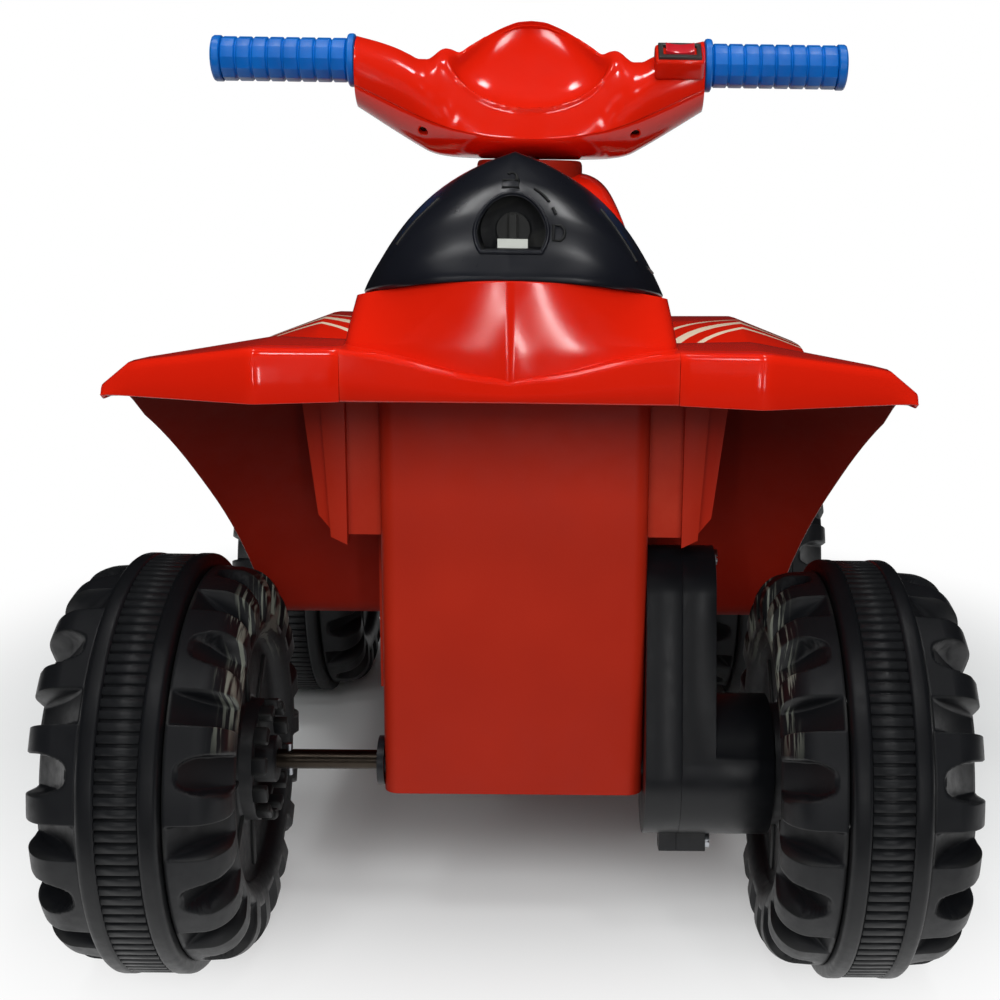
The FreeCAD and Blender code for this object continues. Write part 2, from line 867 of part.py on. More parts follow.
def front_section(x, crown_z):
    start = (ahead(footboard_mid), footboard_z)
    foot = (ahead(front_arch_foot), footboard_z)
    crown = (ahead(front_crown_ahead), crown_z)
    top = (ahead(front_lip_ahead) - 5, crown_z - 5)
    low = (ahead(front_lip_ahead), crown_z - front_lip_drop)
    low_in = (ahead(front_lip_ahead) - wall, crown_z - front_lip_drop)
    top_in = (ahead(front_lip_ahead) - 5 - wall, crown_z - 5 - wall)
    crown_in = (ahead(front_crown_ahead), crown_z - wall)
    foot_in = (ahead(front_arch_foot) + wall, footboard_z - wall)
    start_low = (ahead(footboard_mid), footboard_z - wall)
    return path_wire(x, [
        ("line", start, foot), ("rise", foot, crown), ("line", crown, top), ("line", top, low),
        ("line", low, low_in), ("line", low_in, top_in), ("line", top_in, crown_in),
        ("fall", crown_in, foot_in), ("line", foot_in, start_low), ("line", start_low, start),
    ], round_arch)


def edge_cutter(y0, y1, mid_half, mid_z, top_half, top_z):
    far = overall_width
    wire = outline(at_y(y0), [
        (footboard_half, 0),
        (footboard_half, footboard_z - wall),
        ((mid_half, mid_z), (top_half, top_z)),
        (top_half, bar_z),
        (far, bar_z),
        (far, 0),
    ])
    return prism(wire, Vector(0, y1 - y0, 0))


def panel_screw_places():
    z = footboard_z - wall - flange_height / 2
    return [(ahead(flange_first) + flange_length / 2, z), (ahead(flange_second) + flange_length / 2, z)]


def right_fender_panel():
    rear = Part.makeLoft([
        rear_section(panel_inner, inner_lip_back, inner_z, inner_crown_ahead, round_arch),
        rear_section(ridge_half, ridge_lip_back, ridge_z, inner_crown_ahead, round_arch),
        rear_section(shoulder_half, shoulder_lip_back, shoulder_z, outer_crown_ahead, flat_arch),
        rear_section(fender_edge_half, edge_lip_back, edge_z, outer_crown_ahead, flat_arch),
    ], True, True)
    rear = rear.cut(edge_cutter(ahead(outer_crown_ahead), ahead(footboard_mid) + 5, rear_edge_mid_half,
                                rear_edge_mid_z, fender_edge_half, rear_edge_z))
    front = Part.makeLoft([
        front_section(panel_inner, front_inner_z),
        front_section(front_ridge_half, front_ridge_z),
        front_section(front_tip_half, front_tip_z),
    ], True, True)
    front = front.cut(edge_cutter(ahead(footboard_mid) - 5, ahead(front_lip_ahead) + 5,
                                  front_edge_mid_half, front_edge_mid_z, front_tip_half, front_edge_z))
    pieces = [rear, front]
    for start in (flange_first, flange_second):
        pieces.append(box(panel_inner, panel_inner + wall, ahead(start), ahead(start) + flange_length,
                          footboard_z - wall - flange_height, footboard_z - 1))
    first = footboard_mid - tread_rib_pitch * (tread_rib_count - 1) / 2
    for index in range(tread_rib_count):
        y = ahead(first + index * tread_rib_pitch)
        pieces.append(box(panel_inner + 8, footboard_half - 8, y - tread_rib_width / 2,
                          y + tread_rib_width / 2, footboard_z - 1, footboard_z + tread_rib_height))
    panel = joined(pieces)
    holes = []
    for y, z in panel_screw_places():
        holes.append(rod_x(box_screw_radius + screw_gap, spine_half, spine_half + 10, y, z))
    return panel.cut(Part.makeCompound(holes))


def fender_screws():
    screws = []
    for y, z in panel_screw_places():
        seat_x = panel_inner + wall
        shank = rod_x(box_screw_radius, spine_half - wall, seat_x + 1, y, z)
        head = rod_x(box_screw_head, seat_x, seat_x + 2.4, y, z)
        slot = box(seat_x + 1.4, seat_x + 3, y - box_screw_head, y + box_screw_head, z - 0.5, z + 0.5)
        screw = joined([shank, head]).cut(slot)
        screws.append(screw)
        screws.append(mirrored(screw))
    return Part.makeCompound(screws)


# lower chassis

def open_box(half, y0, y1, z0, z1):
    return box(-half, half, y0, y1, z0, z1)


def lower_chassis():
    top = chassis_top
    column = open_box(column_half, ahead(-column_back), ahead(column_front), column_low, top)
    upright = []
    for edge in column.Edges:
        low, high = edge.BoundBox.ZMin, edge.BoundBox.ZMax
        if high - low > 50 and edge.CenterOfMass.y < ahead(0):
            upright.append(edge)
    column = column.makeFillet(column_corner, upright)
    spine = open_box(spine_half, ahead(column_front) - 2, ahead(spine_front), spine_low, top)
    nose = open_box(front_box_half, ahead(spine_front) - wall, ahead(front_box_end), spine_low,
                    front_box_top)
    pieces = [column, spine, nose]
    for side in (-1, 1):
        bay = outline(at_y(ahead(0)), [
            (side * (column_half - 5), side_bay_low),
            (side * (side_bay_low_half - 8), side_bay_low),
            (side * side_bay_low_half, side_bay_low + 10),
            (side * side_bay_top_half, top),
            (side * (column_half - 5), top),
        ])
        pieces.append(prism(bay, Vector(0, side_bay_front, 0)))
        flute = outline(at_y(ahead(-flute_depth)), [
            (side * flute_inner, side_bay_low - 4),
            (side * (flute_outer - 3), side_bay_low),
            (side * (flute_outer + 1), top),
            (side * flute_inner, top),
        ])
        pieces.append(prism(flute, Vector(0, flute_depth + 2, 0)))
        x = side * kingpin_x
        pieces.append(rod_z(kingpin_boss_radius, boss_low, boss_top, x, front_axle_y))
        inner_x = side * (front_box_half - 1)
        pieces.append(box(min(x, inner_x), max(x, inner_x), front_axle_y - kingpin_boss_radius,
                          front_axle_y + kingpin_boss_radius, boss_low, boss_top))
    body = joined(pieces)
    w = wall
    cavities = [
        box(-column_half + w, column_half - w, ahead(-column_back) + w, ahead(column_front) - w,
            column_low + w, top + 1),
        box(-spine_half + w, spine_half - w, ahead(column_front) + 1, ahead(spine_front) - w,
            spine_low + w, top + 1),
        box(-front_box_half + w, front_box_half - w, ahead(spine_front) - 2 * w, ahead(front_box_end) - w,
            spine_low + w, top + 1),
    ]
    for side in (-1, 1):
        bay = outline(at_y(ahead(0) + w), [
            (side * (column_half + 1), side_bay_low + w),
            (side * (side_bay_low_half - 9), side_bay_low + w),
            (side * (side_bay_low_half - w), side_bay_low + 11),
            (side * (side_bay_top_half - w), top + 1),
            (side * (column_half + 1), top + 1),
        ])
        cavities.append(prism(bay, Vector(0, side_bay_front - 2 * w, 0)))
    body = body.cut(Part.makeCompound(cavities))
    boss = rod_z(column_boss_radius, spine_low, spine_low + column_boss_height, 0, ahead(column_ahead))
    body = joined([body, boss])
    holes = [
        rod_z(column_radius + running_gap, spine_low - 1, spine_low + column_boss_height + 1, 0,
              ahead(column_ahead)),
        rod_x(bush_radius + gap, -column_half - 1, -column_half + w + 1, rear_axle_y, axle_z),
        rod_x(bush_radius + gap, column_half - w - 1, column_half + 1, rear_axle_y, axle_z),
        leaned(rod_x(motor_radius + gap, column_half - w - 1, column_half + 1, rear_axle_y, motor_z)),
    ]
    for side in (-1, 1):
        holes.append(rod_z(axle_radius + running_gap, boss_low - 1, boss_top + 1, side * kingpin_x,
                           front_axle_y))
        for y, z in panel_screw_places():
            x = side * spine_half
            holes.append(rod_x(box_screw_radius + screw_gap, min(x - side * 5, x + side), max(x - side * 5,
                               x + side), y, z))
    return body.cut(Part.makeCompound(holes))


# centre body

def rim_z(distance):
    return rim_rear_z - rim_slope * (distance + rim_back)


def tub_wire(half, back, corner_half, corner_back, side_back, height, inset):
    # height gives the level at a distance ahead of the axle, so the rim can slope.
    def spot(x, distance):
        return Vector(x, ahead(distance), height(distance))

    centre = -back + inset
    corner = -corner_back + inset
    side = -side_back + inset
    half = half - inset
    corner_half = corner_half - inset
    bow = (centre + corner) / 2 - 3
    turn_x = half - (half - corner_half) * 0.3
    turn_y = corner + (side - corner) * 0.35
    end = tub_end - inset
    return Part.Wire([
        Part.Arc(spot(0, centre), spot(corner_half / 2, bow), spot(corner_half, corner)).toShape(),
        Part.Arc(spot(corner_half, corner), spot(turn_x, turn_y), spot(half, side)).toShape(),
        Part.makeLine(spot(half, side), spot(half, end)),
        Part.makeLine(spot(half, end), spot(-half, end)),
        Part.makeLine(spot(-half, end), spot(-half, side)),
        Part.Arc(spot(-half, side), spot(-turn_x, turn_y), spot(-corner_half, corner)).toShape(),
        Part.Arc(spot(-corner_half, corner), spot(-corner_half / 2, bow), spot(0, centre)).toShape(),
    ])


def tub_solid(inset, low, over):
    def level(z):
        return lambda distance: z

    base = (spine_half, tub_back, tub_corner_half, tub_corner_back, tub_side_back)
    rim = (rim_half, rim_back, rim_corner_half, rim_corner_back, rim_side_back)
    lower = Part.makeLoft([
        tub_wire(*base, level(low), inset),
        tub_wire(*base, level(tub_break_z), inset),
    ], True, True)
    upper = Part.makeLoft([
        tub_wire(*base, level(tub_break_z), inset),
        tub_wire(*rim, lambda distance: rim_z(distance) + over, inset),
    ], True, True)
    return joined([lower, upper])


def cowl_section(distance, low_half, low_z, mid_half, mid_z, top_half, top_z, inset, drop):
    return outline(at_y(ahead(distance)), [
        (-low_half + inset, low_z - drop),
        (-mid_half + inset, mid_z - inset * 0.4),
        (-top_half + inset * 0.6, top_z - inset),
        (top_half - inset * 0.6, top_z - inset),
        (mid_half - inset, mid_z - inset * 0.4),
        (low_half - inset, low_z - drop),
    ])


def cowl_solid(inset, drop):
    nose = wheelbase + wheel_radius + nose_overhang - headlight_stand
    start = cowl_start
    sections = [
        (start, spine_half, chassis_top, 68.0, 336.0, 58.0, 342.0),
        (start + 20, spine_half, chassis_top, 62.0, 374.0, 50.0, 388.0),
        (column_ahead, spine_half, chassis_top, 57.0, 388.0, 42.0, 406.0),
        (column_ahead + 53, spine_half, chassis_top, 58.0, 370.0, 42.0, 388.0),
        (wheelbase, spine_half, 280.0, 60.0, 324.0, 46.0, 340.0),
        (nose - 48, 72.0, 258.0, 60.0, 292.0, 46.0, 304.0),
        (nose, 60.0, 236.0, 52.0, 268.0, 42.0, 276.0),
    ]
    wires = []
    for index, values in enumerate(sections):
        distance = values[0]
        if inset and index == 0:
            distance = distance + inset + 4
        if inset and index == len(sections) - 1:
            distance = distance - inset
        wires.append(cowl_section(distance, *values[1:], inset, drop))
    return Part.makeLoft(wires, True, True)


def hinge_place():
    return ahead(seat_hinge_ahead), rim_z(seat_hinge_ahead) + seat_hinge_rise


def centre_body():
    tub = tub_solid(0, chassis_top, 0)
    lip = prism(outline(at_y(ahead(-inner_lip_back)), [
        (-spine_half, lip_low),
        (spine_half, lip_low),
        (spine_half, inner_z),
        (0, lip_vee_z),
        (-spine_half, inner_z),
    ]), Vector(0, lip_vee_depth, 0))
    cheek = prism(outline(at_y(ahead(-tub_corner_back) - 10), [
        (tub_corner_half - 6, lip_low),
        (spine_half, lip_low),
        (spine_half, inner_z),
        (tub_corner_half - 6, inner_z - 1),
    ]), Vector(0, 18, 0))
    cowl = cowl_solid(0, 0)
    neck = rod_z(neck_radius, neck_base, neck_top, 0, ahead(column_ahead))
    outer = joined([tub, lip, cheek, mirrored(cheek), cowl, neck])
    tub_hole = tub_solid(wall, chassis_top - 10, 30)
    deck_z = rim_z(seat_front)
    deck = box(-spine_half, spine_half, ahead(seat_front) - 22, ahead(tub_end), chassis_top, deck_z)
    tub_hole = tub_hole.cut(deck.cut(box(-spine_half, spine_half, ahead(0), ahead(tub_end) - wall,
                                         chassis_top - 5, deck_z - wall)))
    over_deck = box(-spine_half, spine_half, ahead(seat_front) - 25, ahead(cowl_start), deck_z, deck_z + 60)
    tub_hole = tub_hole.cut(over_deck)
    body = outer.cut(Part.makeCompound([tub_hole, cowl_solid(wall, 20)]))
    neck_core = rod_z(neck_radius - wall, neck_base, neck_top - 6, 0, ahead(column_ahead))
    boss = rod_z(column_boss_radius, neck_base - 10, neck_top, 0, ahead(column_ahead))
    body = joined([body.cut(neck_core), boss])
    hinge_y, hinge_z = hinge_place()
    ears = []
    for side in (-1, 1):
        x = side * hinge_ear_half
        ears.append(box(x - hinge_ear_thick / 2, x + hinge_ear_thick / 2, hinge_y - hinge_eye_radius,
                        hinge_y + hinge_eye_radius, deck_z - 1, hinge_z))
        ears.append(rod_x(hinge_eye_radius, x - hinge_ear_thick / 2, x + hinge_ear_thick / 2, hinge_y,
                          hinge_z))
    body = joined([body] + ears)
    nose_y = ahead(wheelbase + wheel_radius + nose_overhang)
    holes = [
        rod_z(column_radius + running_gap, neck_base - 11, neck_top + 1, 0, ahead(column_ahead)),
        rod_x(hinge_pin_radius, -200, 200, hinge_y, hinge_z),
    ]
    for side in (-1, 1):
        holes.append(rod_y(headlight_radius + gap, nose_y - headlight_stand - headlight_sunk, nose_y,
                           side * headlight_half, headlight_z))
    return body.cut(Part.makeCompound(holes))


def headlights():
    lenses = []
    nose_y = ahead(wheelbase + wheel_radius + nose_overhang)
    back = nose_y - headlight_stand - headlight_sunk
    for side in (-1, 1):
        lens = rod_y(headlight_radius, back, nose_y, side * headlight_half, headlight_z)
        rim = [edge for edge in lens.Edges if abs(edge.CenterOfMass.y - nose_y) < 0.01]
        lenses.append(lens.makeFillet(headlight_stand * 0.8, rim))
    return Part.makeCompound(lenses)


def seat_hinge_pin():
    y, z = hinge_place()
    reach = hinge_ear_half + hinge_ear_thick / 2 + 1
    return rod_x(hinge_pin_radius, -reach, reach, y, z)


# seat

def seat_section(distance, half, low, high, fullness):
    # Crowned section with a low ridge along the middle.
    z0 = rim_z(distance) + low
    y = ahead(distance)
    rise = high - z0
    bend = 0.5 + 0.35 * fullness
    right = Part.BezierCurve()
    right.setPoles([Vector(half, y, z0), Vector(half * (0.62 + 0.34 * fullness), y, z0 + rise * bend),
                    Vector(half * 0.34, y, z0 + rise * 0.97), Vector(0, y, high)])
    left = Part.BezierCurve()
    left.setPoles([Vector(0, y, high), Vector(-half * 0.34, y, z0 + rise * 0.97),
                   Vector(-half * (0.62 + 0.34 * fullness), y, z0 + rise * bend), Vector(-half, y, z0)])
    base = Part.makeLine(Vector(-half, y, z0), Vector(half, y, z0))
    return Part.Wire([right.toShape(), left.toShape(), base])


def seat():
    sections = [
        (-rim_back + 1.5, 34.0, rim_rear_z + 5, 0.9),
        (-rim_back + 6, 49.0, rim_rear_z + 15, 0.8),
        (-rim_corner_back - 1, 60.5, rim_rear_z + 29, 0.6),
        (-42.0, 67.0, 400.0, 0.35),
        (hump_ahead, rim_half - 0.5, hump_z, 0.15),
        (16.0, rim_half - 0.5, 400.0, 0.2),
        (52.0, 68.0, 375.0, 0.6),
        (96.0, 65.0, 364.0, 0.9),
        (138.0, 61.0, 357.0, 0.9),
        (seat_front, 54.0, 344.0, 0.9),
    ]
    wires = []
    for distance, half, high, fullness in sections:
        wires.append(seat_section(distance, half, gap, high, fullness))
    pad = Part.makeLoft(wires, True, False)
    hinge_y, hinge_z = hinge_place()
    eyes = []
    for side in (-1, 1):
        x = side * (hinge_ear_half - hinge_ear_thick - 2)
        x0, x1 = x - hinge_ear_thick / 2, x + hinge_ear_thick / 2
        eyes.append(rod_x(hinge_eye_radius, x0, x1, hinge_y, hinge_z))
        eyes.append(box(x0, x1, ahead(seat_front) - 6, hinge_y, hinge_z - 4, hinge_z + 2))
    pocket = prism(outline(at_y(ahead(-rim_back) - 5), [
        (-lock_radius, lock_z),
        ((0, lock_z + lock_radius), (lock_radius, lock_z)),
        (lock_radius - 1.5, lock_flat_z),
        (-lock_radius + 1.5, lock_flat_z),
    ]), Vector(0, rim_back + 5 - lock_floor_back, 0))
    hollow = box(-42, 42, ahead(hump_ahead) + 4, ahead(110), 300, rim_z(-20) + 8)
    shape = joined([pad] + eyes).cut(Part.makeCompound([pocket, hollow]))
    shaft = rod_y(3.0 + running_gap, ahead(-lock_floor_back) - 1, ahead(-lock_floor_back) + 8, 0, lock_z)
    pin = rod_x(hinge_pin_radius + running_gap, -100, 100, hinge_y, hinge_z)
    return shape.cut(Part.makeCompound([shaft, pin]))


def lock_knob():
    floor = ahead(-lock_floor_back)
    disc = rod_y(knob_radius, floor - 4 - gap, floor - gap, 0, lock_z)
    shaft = rod_y(3.0, floor - gap, floor + 7, 0, lock_z)
    bar = box(-1.6, 1.6, floor - 9 - gap, floor - 4 - gap, lock_z - knob_radius + 0.8,
              lock_z + knob_radius - 0.8)
    return joined([disc, shaft, bar])


def lock_latch():
    floor = ahead(-lock_floor_back)
    return box(-latch_width / 2, latch_width / 2, floor - 12, floor - 9.6, lock_flat_z,
               lock_flat_z + latch_height)


# handlebar

def cover_rows():
    # Distance from the middle; bottom, parting and top about the bar's height; rear, crest and front
    # about the column.
    return [
        (0.0, -60.0, -43.0, 29.0, -35.0, 26.0, 43.0),
        (28.0, -59.5, -41.0, 20.0, -33.0, 22.0, 41.0),
        (48.0, -58.0, -36.5, 7.6, -28.0, 9.0, 35.0),
        (55.0, -56.0, -34.5, 9.0, -26.0, 5.0, 32.0),
        (70.0, -50.0, -28.0, 2.0, -21.0, 0.0, 26.0),
        (92.0, -33.0, -17.0, 9.0, -17.0, 0.0, 19.0),
        (cover_end_x, -19.0, -9.0, 16.0, -16.0, 0.0, 16.0),
    ]


def cover_levels(row):
    heights = [bar_z + value for value in row[1:4]]
    places = [ahead(column_ahead + value) for value in row[4:7]]
    return heights + places


def upper_cover_wire(row, side, inset):
    low, part, top, rear, crest, front = cover_levels(row)
    face_y = rear + (crest - rear) * 0.45
    face_z = part + (top - part) * 0.62
    points = [
        (rear + inset, part),
        (face_y + inset * 0.8, face_z - inset * 0.5),
        (crest, top - inset),
        (crest + (front - crest) * crest_flat - inset, top - inset),
        (front - 4 - inset, top - (top - part) * 0.25 - inset),
        (front - inset, part),
    ]
    return outline(at_x(side * row[0]), points)


def lower_cover_wire(row, side, inset):
    low, part, top, rear, crest, front = cover_levels(row)
    points = [
        (rear + inset, part),
        (front - inset, part),
        (front - 6 - inset, low + 4 + inset),
        (front - 12, low + inset),
        (rear + 10, low + inset),
        (rear + 3 + inset, low + 4 + inset),
    ]
    return outline(at_x(side * row[0]), points)


def cover_loft(wire_of, inset, rows):
    wires = []
    for row in reversed(rows[1:]):
        wires.append(wire_of(row, -1, inset))
    for row in rows:
        wires.append(wire_of(row, 1, inset))
    return Part.makeLoft(wires, True, True)


def bowl_centre():
    low, part, top, rear, crest, front = cover_levels(cover_rows()[0])
    length = math.hypot(crest - rear, top - part)
    back = (top - part) / length
    rise = (crest - rear) / length
    y = rear + (crest - rear) * bowl_share
    z = part + (top - part) * bowl_share
    return Vector(0, y - back * bowl_offset, z + rise * bowl_offset)


def switch_frame(shape):
    # From a flat frame about the origin to the slanted seat on the right shoulder.
    copy = shape.copy()
    copy.rotate(Vector(0, 0, 0), Vector(1, 0, 0), switch_tilt)
    copy.translate(Vector(switch_x, ahead(column_ahead) - switch_back, bar_z + switch_up))
    return copy


def rounded_path(points, radius):
    # Straight stretches joined by arcs that touch both of them.
    edges = []
    here = points[0]
    for index in range(1, len(points) - 1):
        corner = points[index]
        back = (points[index - 1] - corner).normalize()
        on = (points[index + 1] - corner).normalize()
        half = back.getAngle(on) / 2
        reach = radius / math.tan(half)
        start = corner + back * reach
        end = corner + on * reach
        inward = (back + on).normalize()
        middle = corner + inward * (radius / math.sin(half) - radius)
        edges.append(Part.makeLine(here, start))
        edges.append(Part.Arc(start, middle, end).toShape())
        here = end
    edges.append(Part.makeLine(here, points[-1]))
    return Part.Wire(edges)


def bar_sweep(radius, reach):
    y = ahead(column_ahead)
    path = rounded_path([
        Vector(-reach, y, bar_z),
        Vector(-bar_bend_half, y, bar_z),
        Vector(-bar_dip_half, y, bar_dip_z),
        Vector(bar_dip_half, y, bar_dip_z),
        Vector(bar_bend_half, y, bar_z),
        Vector(reach, y, bar_z),
    ], bar_bend_radius)
    ring = Part.Wire(Part.makeCircle(radius, Vector(-reach, y, bar_z), Vector(1, 0, 0)))
    return path.makePipeShell([ring], True, False)


def bar_channel():
    y = ahead(column_ahead)
    tube = bar_sweep(bar_radius + screw_gap, grip_end_x + 50)
    rod = rod_z(column_radius + screw_gap, 0, bar_dip_z, 0, y)
    return joined([tube, rod])


def cover_screw_place(side):
    return side * cover_screw_half, ahead(column_ahead - cover_screw_back)


def column_rib():
    # Solid core of the covers round the column.
    half = column_radius + 4
    y = ahead(column_ahead)
    return box(-half, half, y - cover_reach, y + cover_reach, bar_z - 2 * cover_reach, bar_z + cover_reach)


def handlebar_upper_cover():
    rows = cover_rows()
    cover = cover_loft(upper_cover_wire, 0, rows)
    pad = switch_frame(box(-switch_length / 2 - 2, switch_length / 2 + 2, -switch_width / 2 - 2,
                           switch_width / 2 + 2, -9, 3.5))
    cover = joined([cover, pad]).cut(Part.makeSphere(bowl_radius, bowl_centre()))
    core = cover_loft(upper_cover_wire, wall + 1.5, rows[:5]).cut(column_rib())
    core = core.cut(Part.makeSphere(bowl_radius + wall, bowl_centre()))
    tray = switch_frame(box(-switch_length / 2 - gap, switch_length / 2 + gap, -switch_width / 2 - gap,
                            switch_width / 2 + gap, -switch_height + 3, 30))
    holes = []
    top = bar_z - cover_screw_drop + cover_screw_length + 2
    for side in (-1, 1):
        x, y = cover_screw_place(side)
        holes.append(rod_z(cover_screw_radius + screw_gap, bar_z - 2 * cover_reach, top, x, y))
    cover = cover.cut(core).cut(tray)
    return cover.cut(bar_channel()).cut(Part.makeCompound(holes))


def handlebar_lower_cover():
    rows = cover_rows()
    cover = cover_loft(lower_cover_wire, 0, rows)
    core = cover_loft(lower_cover_wire, wall, rows[:5])
    keep = [column_rib()]
    holes = []
    low = bar_z - 2 * cover_reach
    seat_z = bar_z - cover_screw_drop
    for side in (-1, 1):
        x, y = cover_screw_place(side)
        keep.append(rod_z(cover_screw_head + gap + 2, low, bar_z, x, y))
        holes.append(rod_z(cover_screw_radius + screw_gap, low, bar_z, x, y))
        holes.append(rod_z(cover_screw_head + gap, low, seat_z, x, y))
    cover = cover.cut(core.cut(Part.makeCompound(keep)))
    return cover.cut(bar_channel()).cut(Part.makeCompound(holes))


def cover_screws():
    screws = []
    seat_z = bar_z - cover_screw_drop
    head_z = seat_z - cover_screw_head_thick
    for side in (-1, 1):
        x, y = cover_screw_place(side)
        shank = rod_z(cover_screw_radius, seat_z, seat_z + cover_screw_length, x, y)
        head = rod_z(cover_screw_head, head_z, seat_z, x, y)
        slot = box(x - 4, x + 4, y - 0.4, y + 0.4, head_z - 1, head_z + 1)
        screws.append(joined([shank, head]).cut(slot))
    return Part.makeCompound(screws)


def handlebar_tube():
    reach = grip_end_x - 4
    return bar_sweep(bar_radius, reach).cut(bar_sweep(bar_radius - bar_wall, reach + 1))


def right_grip():
    start = grip_inner_x + grip_flange_thick
    length = (grip_end_x - 3 - start) / grip_ring_count
    moves = [
        (grip_inner_x, bar_radius),
        (grip_inner_x, grip_flange_radius - 1),
        ((grip_inner_x + 0.4, grip_flange_radius - 0.3), (grip_inner_x + 1.2, grip_flange_radius)),
        (start - 1, grip_flange_radius),
        (start, grip_flange_radius - 1),
    ]
    low = grip_radius - grip_groove_depth
    for index in range(grip_ring_count):
        x0 = start + index * length
        x1 = x0 + length
        moves.append((x0, low))
        moves.append((x0 + grip_groove_width / 2, low))
        moves.append((x0 + grip_groove_width / 2 + 0.8, grip_radius))
        moves.append((x1 - grip_groove_width / 2 - 0.8, grip_radius))
        moves.append((x1 - grip_groove_width / 2, low))
    end = grip_end_x
    moves += [
        (end - 3, low),
        (end - 2.6, grip_radius),
        ((end - 0.8, grip_radius - 1), (end, grip_radius - 3.5)),
        (end, 0),
        (end - 3.5, 0),
        (end - 3.5, bar_radius),
    ]
    return moved(spun_x(moves), 0, ahead(column_ahead), bar_z)


def switch_housing():
    length, width = switch_length / 2, switch_width / 2
    body = box(-length, length, -width, width, -switch_height + 3, 5)
    top = [edge for edge in body.Edges if edge.BoundBox.ZMin > 4.9]
    body = body.makeFillet(0.8, top)
    well = box(-length + switch_rim, length - switch_rim, -width + switch_rim, width - switch_rim,
               -switch_height + 4.2, 9)
    return switch_frame(body.cut(well))


def switch_rocker():
    length = switch_length / 2 - switch_rim - gap - 0.7
    width = switch_width / 2 - switch_rim - gap
    z = rocker_pivot
    wire = outline(at_y(-width), [
        (-length + 1.0, z),
        (-rocker_round, z),
        ((0, z - rocker_round), (rocker_round, z)),
        (length - 1.0, z),
        (length - 0.5, 5 + rocker_rise),
        ((0, 5 + rocker_rise * 0.3), (-length + 0.5, 5 + rocker_rise)),
    ])
    return switch_frame(prism(wire, Vector(0, 2 * width, 0)))


def battery():
    y0 = ahead(battery_ahead)
    z0 = spine_low + wall
    case = box(-battery_x / 2, battery_x / 2, y0, y0 + battery_y, z0, z0 + battery_z)
    upright = [edge for edge in case.Edges if edge.BoundBox.ZLength > 50]
    case = case.makeFillet(2.5, upright)
    tabs = []
    for side in (-1, 1):
        tabs.append(box(side * 22 - 2.4, side * 22 + 2.4, y0 + 8, y0 + 9, z0 + battery_z - 0.5,
                        z0 + battery_z + terminal_height))
    return joined([case] + tabs)


os.makedirs("parts", exist_ok=True)

outer_half = wheel_outer_half()
inner_half = wheel_inner_half()
band = traction_band()
cap = hub_cap()
corners = {
    "front_right": (1, front_axle_y),
    "front_left": (-1, front_axle_y),
    "rear_right": (1, rear_axle_y),
    "rear_left": (-1, rear_axle_y),
}
for corner, (side, y) in corners.items():
    for name, shape in (("wheel_outer", outer_half), ("wheel_inner", inner_half),
                        ("traction_band", band), ("hub_cap", cap)):
        piece = moved(shape, wheel_x, y, axle_z)
        save(corner + "_" + name, piece if side > 0 else mirrored(piece))

save("rear_axle", rear_axle())
save("axle_bushes", axle_bushes())
save("axle_cross_pin", axle_cross_pin())
save("axle_push_nuts", axle_push_nuts())
save("output_gear", output_gear())
save("second_gear", second_gear())
save("first_gear", first_gear())
save("motor_pinion", motor_pinion())
save("motor", motor())
save("gear_pins", gear_pins())
save("gearbox_inner_half", gearbox_inner())
save("gearbox_outer_half", gearbox_outer())
save("gearbox_screws", gearbox_screws())

knuckle = right_knuckle()
clip = kingpin_clip()
stub_nut = push_nut(wheel_x + hub_face + gap, front_axle_y, axle_z, push_nut_radius, axle_radius,
                    push_nut_thick)
for name, shape in (("knuckle", knuckle), ("kingpin_clip", clip), ("stub_push_nut", stub_nut)):
    save("right_" + name, shape)
    save("left_" + name, mirrored(shape))
save("tie_plate", tie_plate())
save("steering_column", steering_column())

panel = right_fender_panel()
save("right_fender_panel", panel)
save("left_fender_panel", mirrored(panel))
save("fender_screws", fender_screws())
save("lower_chassis", lower_chassis())
save("centre_body", centre_body())
save("headlights", headlights())
save("battery", battery())

save("seat", seat())
save("seat_hinge_pin", seat_hinge_pin())
save("lock_knob", lock_knob())
save("lock_latch", lock_latch())

save("handlebar_tube", handlebar_tube())
save("handlebar_upper_cover", handlebar_upper_cover())
save("handlebar_lower_cover", handlebar_lower_cover())
save("cover_screws", cover_screws())
grip = right_grip()
save("right_grip", grip)
save("left_grip", mirrored(grip))
save("switch_housing", switch_housing())
save("switch_rocker", switch_rocker())
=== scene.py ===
import bmesh
import bpy
import math
from mathutils import Matrix, Vector


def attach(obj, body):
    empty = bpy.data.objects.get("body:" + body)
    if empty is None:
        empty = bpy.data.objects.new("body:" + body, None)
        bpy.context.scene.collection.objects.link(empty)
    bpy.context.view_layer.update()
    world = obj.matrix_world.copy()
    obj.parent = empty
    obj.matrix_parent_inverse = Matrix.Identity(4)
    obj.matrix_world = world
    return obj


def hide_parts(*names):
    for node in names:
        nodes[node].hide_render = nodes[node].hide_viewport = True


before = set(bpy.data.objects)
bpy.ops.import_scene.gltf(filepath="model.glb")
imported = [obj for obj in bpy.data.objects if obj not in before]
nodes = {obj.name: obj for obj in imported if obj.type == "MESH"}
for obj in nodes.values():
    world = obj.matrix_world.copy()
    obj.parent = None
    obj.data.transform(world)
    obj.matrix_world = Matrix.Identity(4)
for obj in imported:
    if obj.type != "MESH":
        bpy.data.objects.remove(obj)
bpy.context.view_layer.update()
metre = 1000.0  # sizes are written in millimetres
quarter = math.pi / 2
rearAxle = -216.0  # place of the rear axle along the bike
axleHeight = 106.0


def spot(x, ahead, z):
    # millimetres, measured ahead of the rear axle, to the shared frame in metres
    return Vector((x, rearAxle + ahead, z)) / metre


def turned(degrees, axis):
    return Matrix.Rotation(math.radians(degrees), 4, axis)


